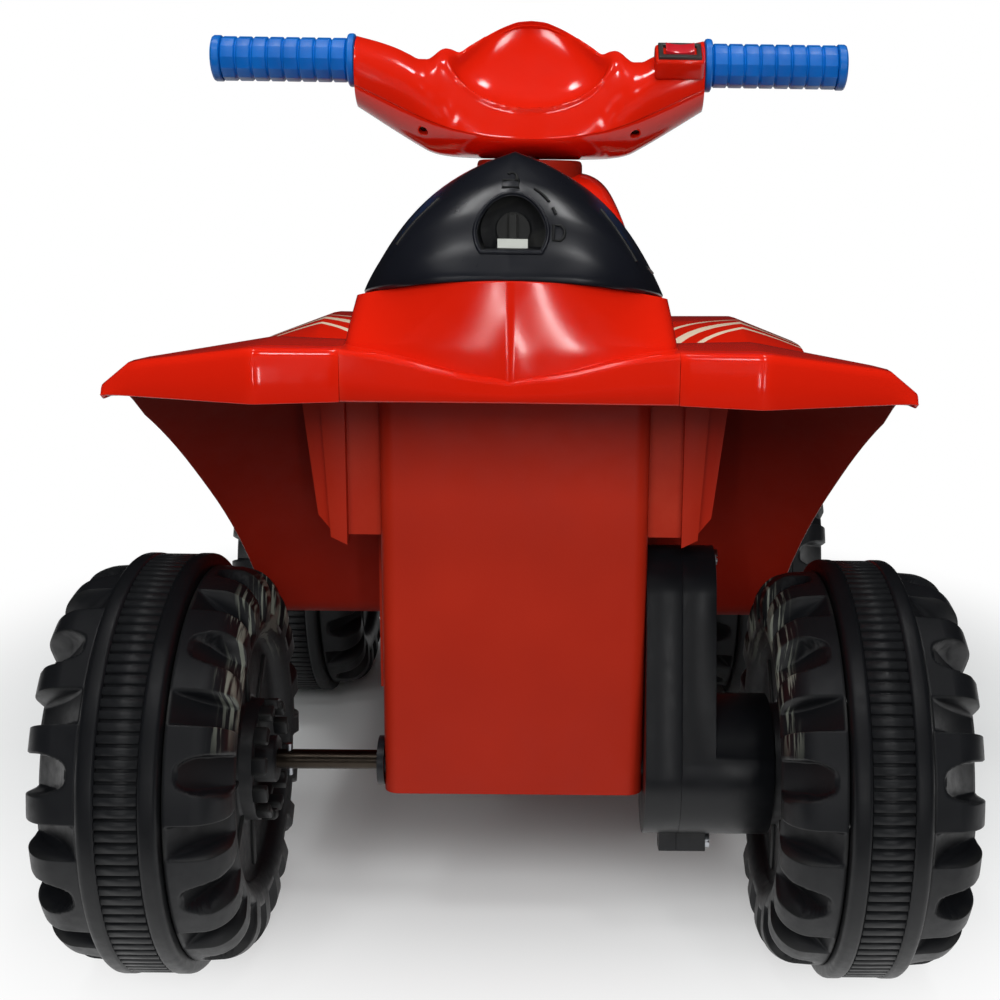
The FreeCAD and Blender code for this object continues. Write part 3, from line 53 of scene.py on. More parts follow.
def newObject(name, data):
    made = bpy.data.objects.new(name, data)
    bpy.context.scene.collection.objects.link(made)
    return made


# camera

viewSettings = {
    "place": (0.0232, -0.908, 0.397), "pitch": 12.404, "yaw": -0.752, "roll": 0.806,
    "lens": 51.22, "sensor": 36.0, "shift": -0.08, "nearest": 0.02,
}
camera = newObject("camera", bpy.data.cameras.new("camera"))
camera.location = viewSettings["place"]
camera.rotation_euler = (
    turned(viewSettings["yaw"], "Z") @ turned(90 - viewSettings["pitch"], "X")
    @ turned(viewSettings["roll"], "Z")).to_euler()
camera.data.lens = viewSettings["lens"]
camera.data.sensor_width = viewSettings["sensor"]
camera.data.shift_x = viewSettings["shift"]
camera.data.clip_start = viewSettings["nearest"]
bpy.context.scene.camera = camera
bpy.context.scene.view_settings.view_transform = "Standard"


# materials

def linear(hexColour):
    parts = []
    for start in (1, 3, 5):
        value = int(hexColour[start:start + 2], 16) / 255.0
        parts.append(value / 12.92 if value <= 0.04045 else ((value + 0.055) / 1.055) ** 2.4)
    return (*parts, 1.0)


def addNode(tree, kind, sockets, **settings):
    node = tree.nodes.new(kind)
    for key, value in settings.items():
        setattr(node, key, value)
    for socket, value in sockets.items():
        if isinstance(value, bpy.types.NodeSocket):
            tree.links.new(value, node.inputs[socket])
        else:
            node.inputs[socket].default_value = value
    return node


def emptyTree(owner):
    owner.use_nodes = True
    owner.node_tree.nodes.clear()
    return owner.node_tree


def perMetre(sizeMm):
    # a noise cell of this size, as a texture scale for coordinates in metres
    return metre / sizeMm


# pointiness of a fresh and of a worn edge, noise of the glossiest and of the dullest places
mouldSettings = {"ridge": (0.53, 0.62), "polish": (0.3, 0.7)}


def mouldedFinish(name, look):
    # moulded plastics: cloudy pigment, tool texture, polish that varies, paler worn edges
    colour, deep, worn = [linear(value) for value in look["colours"]]
    grainMm, grainStrength, grainDeepMm = look["grain"]
    material = bpy.data.materials.new(name)
    tree = emptyTree(material)
    place = addNode(tree, "ShaderNodeTexCoord", {}).outputs["Object"]
    cloud = addNode(tree, "ShaderNodeTexNoise", {
        "Vector": place, "Scale": perMetre(look["cloudMm"]), "Detail": 3.0, "Roughness": 0.55})
    pigment = addNode(tree, "ShaderNodeMix", {
        0: cloud.outputs["Fac"], 6: deep, 7: colour}, data_type="RGBA")
    grain = addNode(tree, "ShaderNodeTexNoise", {
        "Vector": place, "Scale": perMetre(grainMm), "Detail": 2.0, "Roughness": 0.6})
    rubbed = addNode(tree, "ShaderNodeTexNoise", {
        "Vector": place, "Scale": perMetre(look["rubMm"]), "Detail": 5.0, "Roughness": 0.7})
    ridge = addNode(tree, "ShaderNodeMapRange", {
        "Value": addNode(tree, "ShaderNodeNewGeometry", {}).outputs["Pointiness"],
        "From Min": mouldSettings["ridge"][0], "From Max": mouldSettings["ridge"][1],
        "To Min": 0.0, "To Max": look["wear"]})
    rub = addNode(tree, "ShaderNodeMath", {
        0: ridge.outputs["Result"], 1: rubbed.outputs["Fac"]}, operation="MULTIPLY")
    paint = addNode(tree, "ShaderNodeMix", {
        0: rub.outputs["Value"], 6: pigment.outputs[2], 7: worn}, data_type="RGBA")
    polish = addNode(tree, "ShaderNodeMapRange", {
        "Value": rubbed.outputs["Fac"],
        "From Min": mouldSettings["polish"][0], "From Max": mouldSettings["polish"][1],
        "To Min": look["rough"][0], "To Max": look["rough"][1]})
    bump = addNode(tree, "ShaderNodeBump", {
        "Height": grain.outputs["Fac"], "Strength": grainStrength, "Distance": grainDeepMm / metre})
    shader = addNode(tree, "ShaderNodeBsdfPrincipled", {
        "Base Color": paint.outputs[2], "Roughness": polish.outputs["Result"],
        "Normal": bump.outputs["Normal"], "IOR": look["ior"]})
    addNode(tree, "ShaderNodeOutputMaterial", {"Surface": shader.outputs["BSDF"]})
    return material


# drawing lines of a rod, stretched round it
rodSettings = {"lineMm": 0.9, "stretch": (8.0, 1.0, 1.0), "strength": 0.25, "deepMm": 0.05}


def metalFinish(name, look):
    # drawn rods: fine lines, plating or oil that lies in clouds
    colour, deep = [linear(value) for value in look["colours"]]
    material = bpy.data.materials.new(name)
    tree = emptyTree(material)
    place = addNode(tree, "ShaderNodeTexCoord", {}).outputs["Object"]
    stretched = addNode(tree, "ShaderNodeMapping", {
        "Vector": place, "Scale": rodSettings["stretch"]})
    lines = addNode(tree, "ShaderNodeTexNoise", {
        "Vector": stretched.outputs["Vector"], "Scale": perMetre(rodSettings["lineMm"]),
        "Detail": 3.0})
    cloud = addNode(tree, "ShaderNodeTexNoise", {
        "Vector": place, "Scale": perMetre(look["cloudMm"]), "Detail": 4.0})
    paint = addNode(tree, "ShaderNodeMix", {
        0: cloud.outputs["Fac"], 6: deep, 7: colour}, data_type="RGBA")
    polish = addNode(tree, "ShaderNodeMapRange", {
        "Value": cloud.outputs["Fac"],
        "From Min": mouldSettings["polish"][0], "From Max": mouldSettings["polish"][1],
        "To Min": look["rough"][0], "To Max": look["rough"][1]})
    bump = addNode(tree, "ShaderNodeBump", {
        "Height": lines.outputs["Fac"], "Strength": rodSettings["strength"],
        "Distance": rodSettings["deepMm"] / metre})
    shader = addNode(tree, "ShaderNodeBsdfPrincipled", {
        "Base Color": paint.outputs[2], "Roughness": polish.outputs["Result"],
        "Normal": bump.outputs["Normal"], "Metallic": 1.0})
    addNode(tree, "ShaderNodeOutputMaterial", {"Surface": shader.outputs["BSDF"]})
    return material


# in each look: colours of the face, of its deeper clouds and of worn edges, then the grain's
# size, strength and depth

# polypropylene moulded in a polished tool: strong clean red with sharp lamp reflections
polishedLook = {
    "colours": ("#E0220D", "#D41C09", "#EC5A40"), "cloudMm": 70.0, "grain": (1.6, 0.04, 0.05),
    "rubMm": 9.0, "wear": 0.35, "rough": (0.09, 0.15), "ior": 1.49}
glossRed = mouldedFinish("polypropylene red, polished mould", polishedLook)

# the same plastic from a spark-eroded tool: flat, slightly brown red with a fine sandy texture
# the real grit is about 0.3 mm, drawn at 0.9 mm so that it shows
matteRed = mouldedFinish("polypropylene red, spark-eroded mould", {
    "colours": ("#B92812", "#A6210E", "#C9503A"), "cloudMm": 55.0, "grain": (0.9, 0.35, 0.12),
    "rubMm": 14.0, "wear": 0.5, "rough": (0.46, 0.6), "ior": 1.36})

# the unpolished backs of the same sheets, also used on the neck: dull, no clear reflections, and
# darker as painted shade for the shaded arches and neck
dullShadedRed = mouldedFinish("polypropylene red, dull, darkened as painted shade", {
    "colours": ("#9A1E0C", "#86180A", "#B04430"), "cloudMm": 45.0, "grain": (1.2, 0.3, 0.1),
    "rubMm": 12.0, "wear": 0.3, "rough": (0.55, 0.7), "ior": 1.36})

# blown polyethylene seat: slate black with a soft broad sheen and a faint leathery grain
seatBlack = mouldedFinish("polyethylene black, satin blow mould", {
    "colours": ("#15171E", "#101116", "#32333C"), "cloudMm": 40.0, "grain": (1.1, 0.12, 0.06),
    "rubMm": 11.0, "wear": 0.12, "rough": (0.27, 0.33), "ior": 1.51})

# blown polyethylene wheel: duller black, scuffed paler on the corners of the lugs
wheelLook = {
    "colours": ("#151619", "#0F1012", "#44443F"), "cloudMm": 32.0, "grain": (1.3, 0.16, 0.08),
    "rubMm": 6.0, "wear": 0.5, "rough": (0.38, 0.55), "ior": 1.44}
wheelBlack = mouldedFinish("polyethylene black, wheel blow mould", wheelLook)

# soft tread strip: thermoplastic rubber, almost no shine
bandRubber = mouldedFinish("thermoplastic rubber black, moulded", {
    "colours": ("#121316", "#0D0E10", "#343536"), "cloudMm": 26.0, "grain": (1.0, 0.2, 0.08),
    "rubMm": 5.0, "wear": 0.45, "rough": (0.36, 0.5), "ior": 1.4})

# glass-filled nylon gearbox: charcoal, faintly mottled by the fibres
gearboxBlack = mouldedFinish("filled nylon black, injection moulded", {
    "colours": ("#0E0F12", "#0A0B0D", "#303238"), "cloudMm": 18.0, "grain": (1.0, 0.2, 0.07),
    "rubMm": 8.0, "wear": 0.5, "rough": (0.3, 0.42), "ior": 1.4})

# plasticised vinyl grip: bright even blue with a waxy sheen
gripBlue = mouldedFinish("soft vinyl blue, dip moulded", {
    "colours": ("#0074D6", "#005AB0", "#2E90E2"), "cloudMm": 22.0, "grain": (1.0, 0.1, 0.06),
    "rubMm": 7.0, "wear": 0.35, "rough": (0.3, 0.42), "ior": 1.53})

# red hub caps: the body's plastic, a shade deeper
capRed = mouldedFinish("polypropylene red, small polished mould", {
    "colours": ("#D41F0D", "#C01809", "#E86A54"), "cloudMm": 30.0, "grain": (1.4, 0.05, 0.05),
    "rubMm": 6.0, "wear": 0.4, "rough": (0.16, 0.26), "ior": 1.49})

# unpigmented nylon: milky, slightly grey white
gearNylon = mouldedFinish("nylon natural, injection moulded", {
    "colours": ("#E4E4DA", "#D2D4CA", "#F2F2EC"), "cloudMm": 12.0, "grain": (0.9, 0.08, 0.05),
    "rubMm": 5.0, "wear": 0.3, "rough": (0.34, 0.46), "ior": 1.53})

# white acetal latch, handled and a little grey
latchWhite = mouldedFinish("acetal white, injection moulded", {
    "colours": ("#D2D6CE", "#BFC3BB", "#F0F1EC"), "cloudMm": 9.0, "grain": (0.8, 0.08, 0.04),
    "rubMm": 4.0, "wear": 0.3, "rough": (0.34, 0.46), "ior": 1.48})

# polycarbonate switch key: clear glossy red
rockerRed = mouldedFinish("polycarbonate red, polished", {
    "colours": ("#D02430", "#B81A26", "#E8707A"), "cloudMm": 10.0, "grain": (0.8, 0.04, 0.03),
    "rubMm": 4.0, "wear": 0.3, "rough": (0.12, 0.2), "ior": 1.58})

# switch case: black nylon, slightly brown
bezelBlack = mouldedFinish("nylon black, fine tool texture", {
    "colours": ("#33302E", "#262322", "#6C6864"), "cloudMm": 10.0, "grain": (0.8, 0.2, 0.05),
    "rubMm": 4.0, "wear": 0.4, "rough": (0.35, 0.48), "ior": 1.53})

# battery case: mid grey ABS with a flat mould texture
batteryGrey = mouldedFinish("ABS grey, textured mould", {
    "colours": ("#5E6267", "#4E5257", "#8C9095"), "cloudMm": 25.0, "grain": (0.9, 0.25, 0.08),
    "rubMm": 8.0, "wear": 0.4, "rough": (0.45, 0.58), "ior": 1.53})

# headlight lens: milky polycarbonate over a bright back
lensClear = mouldedFinish("polycarbonate frosted, ribbed mould", {
    "colours": ("#E6EAEC", "#CBD2D6", "#FFFFFF"), "cloudMm": 7.0, "grain": (2.4, 0.3, 0.2),
    "rubMm": 5.0, "wear": 0.2, "rough": (0.08, 0.16), "ior": 1.58})

# bright zinc plate on drawn rod: cool grey with faint lines round the bar
zincSteel = metalFinish("steel rod, zinc plated", {
    "colours": ("#C3C6CA", "#9EA2A8"), "cloudMm": 8.0, "rough": (0.26, 0.4)})

# the axle rod: oil-blackened, brown where it has been handled
axleSteel = metalFinish("steel rod, oil blackened", {
    "colours": ("#4A423A", "#2C2723"), "cloudMm": 10.0, "rough": (0.24, 0.4)})


def overprint(material, drawMask, s):
    # a second colour over the plain one, alike on both sides, where a mask says so
    tree = material.node_tree
    shader = next(node for node in tree.nodes if node.type == "BSDF_PRINCIPLED")
    plain = shader.inputs["Base Color"].links[0].from_socket
    whole = addNode(tree, "ShaderNodeTexCoord", {}).outputs["Object"]
    place = addNode(tree, "ShaderNodeSeparateXYZ", {0: whole}).outputs
    across = addNode(tree, "ShaderNodeMath", {0: place["X"]}, operation="ABSOLUTE")
    mask = drawMask(tree, s, whole, place, across.outputs["Value"])
    both = addNode(tree, "ShaderNodeMix", {
        0: mask, 6: plain, 7: linear(s["colour"])}, data_type="RGBA")
    tree.links.new(both.outputs[2], shader.inputs["Base Color"])


def rubStreaks(tree, s, whole, place, across):
    # pale upright scuffs where the inner shoulders of the wheels have rubbed
    drawn = addNode(tree, "ShaderNodeVectorMath", {
        0: whole, 1: s["perMetre"]}, operation="MULTIPLY")
    cloud = addNode(tree, "ShaderNodeTexNoise", {
        "Vector": drawn.outputs["Vector"], "Scale": 1.0, "Detail": 4.0})
    mask = 1.0
    for value, band in ((across, "inner"), (place["Z"], "height"), (cloud.outputs["Fac"], "cut")):
        part = addNode(tree, "ShaderNodeMapRange", {
            "Value": value, "From Min": s[band][0], "From Max": s[band][1]})
        mask = addNode(tree, "ShaderNodeMath", {
            0: mask, 1: part.outputs["Result"]}, operation="MULTIPLY").outputs["Value"]
    return mask


def printStripes(tree, s, whole, place, across):
    # pinstripes printed in arcs on the front fenders
    flat = addNode(tree, "ShaderNodeCombineXYZ", {"X": across, "Y": place["Y"]})
    reach = addNode(tree, "ShaderNodeVectorMath", {
        0: flat.outputs["Vector"], 1: s["centre"]}, operation="DISTANCE")
    ink = 0.0
    for radius, half in s["arcs"]:
        off = addNode(tree, "ShaderNodeMath", {
            0: reach.outputs["Value"], 1: radius}, operation="SUBTRACT")
        away = addNode(tree, "ShaderNodeMath", {0: off.outputs["Value"]}, operation="ABSOLUTE")
        line = addNode(tree, "ShaderNodeMapRange", {
            "Value": away.outputs["Value"], "From Min": half - s["blur"],
            "From Max": half + s["blur"], "To Min": 1.0, "To Max": 0.0})
        ink = addNode(tree, "ShaderNodeMath", {
            0: line.outputs["Result"], 1: ink}, operation="MAXIMUM").outputs["Value"]
    begun = addNode(tree, "ShaderNodeMapRange", {
        "Value": place["Y"], "From Min": s["from"], "From Max": s["from"] + 2 * s["blur"]})
    return addNode(tree, "ShaderNodeMath", {
        0: ink, 1: begun.outputs["Result"]}, operation="MULTIPLY").outputs["Value"]


# inner halves of the wheels: the same black, scuffed pale by rubbing
scuffedBlack = mouldedFinish("polyethylene black, wheel blow mould, scuffed", wheelLook)
overprint(scuffedBlack, rubStreaks, {
    "perMetre": (560.0, 34.0, 26.0), "cut": (0.52, 0.59), "inner": (0.1365, 0.1305),
    "height": (0.14, 0.16), "colour": "#7C8076"})

# fender sheets: the polished red, printed in cream
fenderRed = mouldedFinish("polypropylene red, polished and printed", polishedLook)
overprint(fenderRed, printStripes, {
    "centre": (0.205, 0.06, 0.0), "arcs": [(0.122, 0.0032), (0.108, 0.0018), (0.137, 0.0016)],
    "blur": 0.0003, "from": 0.1, "colour": "#F2DEC2"})

finishes = {
    "gloss_red": glossRed, "matte_red": matteRed, "seat_black": seatBlack,
    "latch_white": latchWhite, "wheel_black": wheelBlack, "band_rubber": bandRubber,
    "cap_red": capRed, "gearbox_black": gearboxBlack, "steel": zincSteel,
    "gear_nylon": gearNylon, "grip_blue": gripBlue, "rocker_red": rockerRed,
    "battery_grey": batteryGrey, "lens_clear": lensClear,
}
print("materials ready, slots:", len(finishes))


# mesh helpers

mirrorAcross = Matrix.Scale(-1, 4, (1, 0, 0))
standUp = turned(-90, "Y")  # what was spun about X now stands along Z


def tidyMesh(mesh, near=1e-6):
    work = bmesh.new()
    work.from_mesh(mesh)
    bmesh.ops.remove_doubles(work, verts=work.verts, dist=near)
    bmesh.ops.dissolve_degenerate(work, edges=work.edges, dist=1e-7)
    bmesh.ops.recalc_face_normals(work, faces=work.faces)
    for face in work.faces:
        face.smooth = True
    work.to_mesh(mesh)
    work.free()


def meshPiece(name, points, faces, material):
    mesh = bpy.data.meshes.new(name)
    mesh.from_pydata([tuple(point) for point in points], [], faces)
    mesh.materials.append(material)
    tidyMesh(mesh)
    return newObject(name, mesh)


def gridFaces(rows, columns, closed=False):
    # faces of a grid stored row by row; closed joins the last column to the first
    faces = []
    for here in range(0, (rows - 1) * columns, columns):
        above = here + columns
        for column in range(columns if closed else columns - 1):
            after = (column + 1) % columns
            faces.append((here + column, here + after, above + after, above + column))
    return faces


def endCaps(count, total):
    # the first and the last ring of a loft as flat faces
    return [tuple(range(count)), tuple(range(total - 1, total - count - 1, -1))]


def closedLoft(name, rings, material):
    # skin over rings of equal count, with flat ends
    count = len(rings[0])
    points = [point for ring in rings for point in ring]
    faces = gridFaces(len(rings), count, True) + endCaps(count, len(points))
    return meshPiece(name, points, faces, material)


def settle(piece):
    # the modifiers' result becomes the piece's own mesh
    graph = bpy.context.evaluated_depsgraph_get()
    mesh = bpy.data.meshes.new_from_object(
        piece.evaluated_get(graph), preserve_all_data_layers=True, depsgraph=graph)
    piece.modifiers.clear()
    old = piece.data
    piece.data = mesh
    mesh.name = piece.name
    bpy.data.meshes.remove(old)
    return piece


def softEdges(piece, widthMm, segments, angle):
    # what "edges" holds in the settings: width, segments and the least angle
    bevel = piece.modifiers.new("edges", "BEVEL")
    bevel.width = widthMm / metre
    bevel.segments = segments
    bevel.limit_method = "ANGLE"
    bevel.angle_limit = math.radians(angle)
    return settle(piece)


def thickWall(piece, thickMm, backSlot=0):
    # an open sheet gets its thickness on the inside
    wall = piece.modifiers.new("wall", "SOLIDIFY")
    wall.thickness = thickMm / metre
    wall.offset = -1.0
    wall.material_offset = backSlot
    return settle(piece)


def crispEdges(piece, angle):
    piece.data.set_sharp_from_angle(angle=math.radians(angle))
    return piece


def turnOut(piece, middle):
    # an open sheet is made to face away from a point inside it
    lean = sum((polygon.center - middle).dot(polygon.normal) * polygon.area
               for polygon in piece.data.polygons)
    if lean < 0:
        piece.data.flip_normals()
    return piece


def dropPiece(piece):
    mesh = piece.data
    bpy.data.objects.remove(piece)
    bpy.data.meshes.remove(mesh)


def joinPieces(name, pieces):
    # one mesh from several, all sitting at the origin
    work = bmesh.new()
    materials = []
    for piece in pieces:
        before = len(work.faces)
        work.from_mesh(piece.data)
        work.faces.ensure_lookup_table()
        for face in work.faces[before:]:
            material = piece.data.materials[face.material_index]
            if material not in materials:
                materials.append(material)
            face.material_index = materials.index(material)
    mesh = bpy.data.meshes.new(name)
    work.to_mesh(mesh)
    work.free()
    for material in materials:
        mesh.materials.append(material)
    for piece in pieces:
        dropPiece(piece)
    return newObject(name, mesh)


def copyPiece(name, piece, matrix, flip=False):
    mesh = piece.data.copy()
    mesh.name = name
    mesh.transform(matrix)
    if flip:
        mesh.flip_normals()
    return newObject(name, mesh)


def mirrored(name, piece):
    return copyPiece(name, piece, mirrorAcross, True)


def carve(piece, tools):
    for tool in tools:
        cut = piece.modifiers.new("cut", "BOOLEAN")
        cut.operation = "DIFFERENCE"
        cut.solver = "EXACT"
        cut.object = tool
    settle(piece)
    for tool in tools:
        dropPiece(tool)


def dress(piece, body, slot, *replaced):
    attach(piece, body)
    if replaced:
        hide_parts(*replaced)
    return piece


def spread(low, high, count):
    return [low + (high - low) * index / (count - 1) for index in range(count)]


def ease(low, high, value):
    part = min(1.0, max(0.0, (value - low) / (high - low)))
    return part * part * (3 - 2 * part)


def quarterArc(parts):
    # cosine and sine at shares of a quarter turn
    return [(math.cos(part * quarter), math.sin(part * quarter)) for part in parts]


def straightTable(table, at):
    # values between the rows of a table on straight lines
    if at <= table[0][0]:
        return list(table[0][1:])
    for first, last in zip(table, table[1:]):
        if at <= last[0]:
            part = (at - first[0]) / (last[0] - first[0])
            return [a + (b - a) * part for a, b in zip(first[1:], last[1:])]
    return list(table[-1][1:])


def alongTable(table, at):
    # smooth values between the rows of a table, never past them
    if at <= table[0][0]:
        return list(table[0][1:])
    if at >= table[-1][0]:
        return list(table[-1][1:])
    low = max(index for index in range(len(table) - 1) if table[index][0] <= at)
    span = table[low + 1][0] - table[low][0]
    part = (at - table[low][0]) / span
    left = 1 - part
    values = []
    for column in range(1, len(table[0])):
        steps = [(after[column] - before[column]) / (after[0] - before[0])
                 for before, after in zip(table, table[1:])]
        leans = []
        for index in (low, low + 1):
            if index == 0 or index == len(table) - 1:
                leans.append(steps[min(index, len(steps) - 1)])
            elif steps[index - 1] * steps[index] <= 0:
                leans.append(0.0)
            else:
                leans.append(2 * steps[index - 1] * steps[index]
                             / (steps[index - 1] + steps[index]))
        first, last = table[low][column], table[low + 1][column]
        values.append(first * (1 + 2 * part) * left ** 2 + last * part ** 2 * (3 - 2 * part)
                      + span * (leans[0] * part * left ** 2 - leans[1] * part ** 2 * left))
    return values


def arcThrough(first, middle, last, count):
    # points on the circle through three points in a plane
    (ax, ay), (bx, by), (cx, cy) = first, middle, last
    a, b, c = ax ** 2 + ay ** 2, bx ** 2 + by ** 2, cx ** 2 + cy ** 2
    cross = 2 * (ax * (by - cy) + bx * (cy - ay) + cx * (ay - by))
    ux = (a * (by - cy) + b * (cy - ay) + c * (ay - by)) / cross
    uy = (a * (cx - bx) + b * (ax - cx) + c * (bx - ax)) / cross
    radius = math.hypot(ax - ux, ay - uy)
    begin, mid, end = [math.atan2(y - uy, x - ux) for x, y in (first, middle, last)]
    turn = (end - begin) % (2 * math.pi)
    if (mid - begin) % (2 * math.pi) > turn:
        turn -= 2 * math.pi
    angles = [begin + turn * part for part in spread(0, 1, count)]
    return [(ux + radius * math.cos(angle), uy + radius * math.sin(angle)) for angle in angles]


def latheX(name, profile, material, turns=96):
    # profile of (x, radius) spun about the X axis; a radius of 0 closes the end
    points = []
    for x, radius in profile:
        for index in range(turns):
            angle = 2 * math.pi * index / turns
            points.append(
                Vector((x, radius * math.cos(angle), radius * math.sin(angle))) / metre)
    piece = meshPiece(name, points, gridFaces(len(profile), turns, True), material)
    middle = sum(x for x, radius in profile) / len(profile) / metre
    return turnOut(piece, Vector((middle, 0, 0)))


def roundedBox(name, low, high, material, widthMm, segments=3):
    corners = []
    for z in (low[2], high[2]):
        for x, ahead in ((low[0], low[1]), (high[0], low[1]),
                         (high[0], high[1]), (low[0], high[1])):
            corners.append(spot(x, ahead, z))
    faces = [(3, 2, 1, 0), (4, 5, 6, 7), (0, 1, 5, 4), (1, 2, 6, 5), (2, 3, 7, 6), (3, 0, 4, 7)]
    return softEdges(meshPiece(name, corners, faces, material), widthMm, segments, 30.0)


# repeats

def repeatTree(name, around):
    # copies the mesh it is given about the X axis, or along a straight row
    tree = bpy.data.node_groups.new(name, "GeometryNodeTree")
    for socket, kind in (("Geometry", "Geometry"), ("Count", "Int"), ("Step", "Vector"),
                         ("Weld", "Float"), ("Material", "Material")):
        tree.interface.new_socket(socket, in_out="INPUT", socket_type="NodeSocket" + kind)
    tree.interface.new_socket("Geometry", in_out="OUTPUT", socket_type="NodeSocketGeometry")
    given = addNode(tree, "NodeGroupInput", {}).outputs
    line = addNode(tree, "GeometryNodeMeshLine", {
        "Count": given["Count"], "Offset": (0, 0, 0) if around else given["Step"]})
    copies = addNode(tree, "GeometryNodeInstanceOnPoints", {
        "Points": line.outputs["Mesh"], "Instance": given["Geometry"]})
    if around:
        index = addNode(tree, "GeometryNodeInputIndex", {})
        turn = addNode(tree, "ShaderNodeVectorMath", {
            0: given["Step"], "Scale": index.outputs["Index"]}, operation="SCALE")
        tree.links.new(turn.outputs["Vector"], copies.inputs["Rotation"])
    real = addNode(tree, "GeometryNodeRealizeInstances", {"Geometry": copies.outputs["Instances"]})
    welded = addNode(tree, "GeometryNodeMergeByDistance", {
        "Geometry": real.outputs["Geometry"], "Distance": given["Weld"]})
    painted = addNode(tree, "GeometryNodeSetMaterial", {
        "Geometry": welded.outputs["Geometry"], "Material": given["Material"]})
    addNode(tree, "NodeGroupOutput", {"Geometry": painted.outputs["Geometry"]})
    return tree


ringTree = repeatTree("ring of copies", True)
rowTree = repeatTree("row of copies", False)


def repeated(piece, tree, count, step, material, weld=0.0):
    maker = piece.modifiers.new("repeat", "NODES")
    values = {"Count": count, "Step": step, "Weld": weld, "Material": material}
    maker.node_group = tree
    for item in tree.interface.items_tree:
        if item.in_out == "INPUT" and item.name in values:
            maker[item.identifier] = values[item.name]
    settle(piece)
    for polygon in piece.data.polygons:
        polygon.use_smooth = True
    return piece


def ringOf(piece, count, material, weld=0.0):
    return repeated(piece, ringTree, count, (2 * math.pi / count, 0, 0), material, weld)


# wheels

wheelSettings = {
    "place": 173.5, "front": 412.0, "repeats": 10, "weld": 0.00005,
    # the tread's line from the groove beside the strip to the rim, as (x, radius)
    "bandEdge": 18.8, "groove": 98.0, "tread": 100.0, "lugEdge": [(0.1, 0.6), (0.7, 0.0)],
    "lugFrom": 2.0, "shoulder": (32.0, 99.0), "bend": (43.0, 92.8), "side": (46.5, 80.0),
    "rim": [(46.3, 77.0), (46.0, 74.0), (45.7, 71.5), (45.1, 68.5), (43.9, 65.6), (42.1, 63.4),
            (40.1, 62.0)],
    "scoopStart": 25.0, "scoopRound": 9.0, "scoopFlare": 0.05, "scoopDeep": 2.1,
    "scoopEndR": 71.5, "troughStart": 20.2, "troughHalf": 7.6, "troughDeep": 1.0,
    "troughEndR": 75.0, "soft": 0.5, "blend": 0.8, "sag": 1.2, "meanR": 95.0,
    # columns of half a lug in degrees, close together where its walls stand
    "columns": [0.0, 0.7, 1.4, 2.1, 2.8, 3.4, 4.0, 4.5, 4.9, 5.3, 5.7, 6.2, 7.2, 8.6, 10.2, 11.8,
                12.7, 13.1, 13.5, 13.9, 14.6, 16.2],
    "outerFace": [
        (40.1, 62.0), (37.5, 61.4), (33.1, 58.6), (31.9, 57.4), (31.4, 55.6), (29.1, 30.0),
        (29.3, 28.8), (30.3, 27.6), (33.3, 26.5), (34.2, 26.2), (34.5, 25.4), (34.5, 5.2)],
    "innerFace": [
        (40.1, 62.0), (38.1, 61.0), (37.1, 59.4), (36.5, 57.0), (36.5, 33.0), (36.9, 31.8),
        (38.1, 31.0), (43.9, 31.0), (44.5, 30.6), (44.7, 29.8), (44.7, 27.0), (44.3, 26.3),
        (43.7, 26.0), (38.5, 26.0), (38.5, 12.6), (39.1, 12.0), (50.7, 12.0), (51.5, 11.2),
        (51.5, 5.2)],
    "rivet": [(27.5, 3.4), (30.3, 3.4), (31.1, 3.0), (31.5, 2.0), (31.6, 0.0)], "rivetR": 0.044,
    "margin": [
        (9.4, 98.0), (9.4, 104.4), (9.7, 105.2), (10.5, 105.9), (11.4, 106.0), (15.4, 106.0),
        (16.8, 105.7), (17.8, 105.0), (18.3, 104.0), (18.5, 102.8), (18.5, 98.0)],
    # half length, floor and number of the strip's ribs, then half width and height of their levels
    "ribHalf": 9.4, "ribFloor": 103.5, "ribs": 120,
    "ribLevels": [(2.15, 103.2), (1.95, 105.1), (1.5, 105.5)],
    "cap": [
        (34.5, 24.0), (36.1, 23.9), (37.9, 22.9), (39.7, 20.9), (41.4, 17.6), (41.9, 16.4),
        (42.0, 15.4), (41.4, 14.4), (41.5, 13.4), (42.5, 12.2), (43.4, 9.0), (43.8, 5.0),
        (44.0, 0.0)],
    # near and far x, inner and outer radius, half angle, edge width
    "spoke": (26.5, 33.1, 25.0, 59.4, 6.2, 1.4), "hubBlock": (43.5, 51.5, 26.0, 31.0, 8.6, 1.1),
    "discRib": (35.5, 38.1, 30.5, 58.6, 2.6, 0.7), "capRib": (39.1, 41.9, 16.6, 20.6, 3.0, 0.6),
}


def fromTop(x, radius, turn):
    # place on a wheel, its turn counted from the top
    return Vector((x, radius * math.sin(turn), radius * math.cos(turn))) / metre


def treadProfile(s):
    # from the groove beside the strip, over the shoulder, to the rim
    edge, top = s["bandEdge"], s["tread"]
    shoulderX, shoulderR = s["shoulder"]
    rows = [(edge, s["groove"])] + [(edge + out, top - down) for out, down in s["lugEdge"]]
    for x in spread(edge + s["lugFrom"], shoulderX, 16):
        rows.append((x, top + (shoulderR - top) * (x - edge) / (shoulderX - edge)))
    return rows + arcThrough(s["shoulder"], s["bend"], s["side"], 14)[1:] + s["rim"]


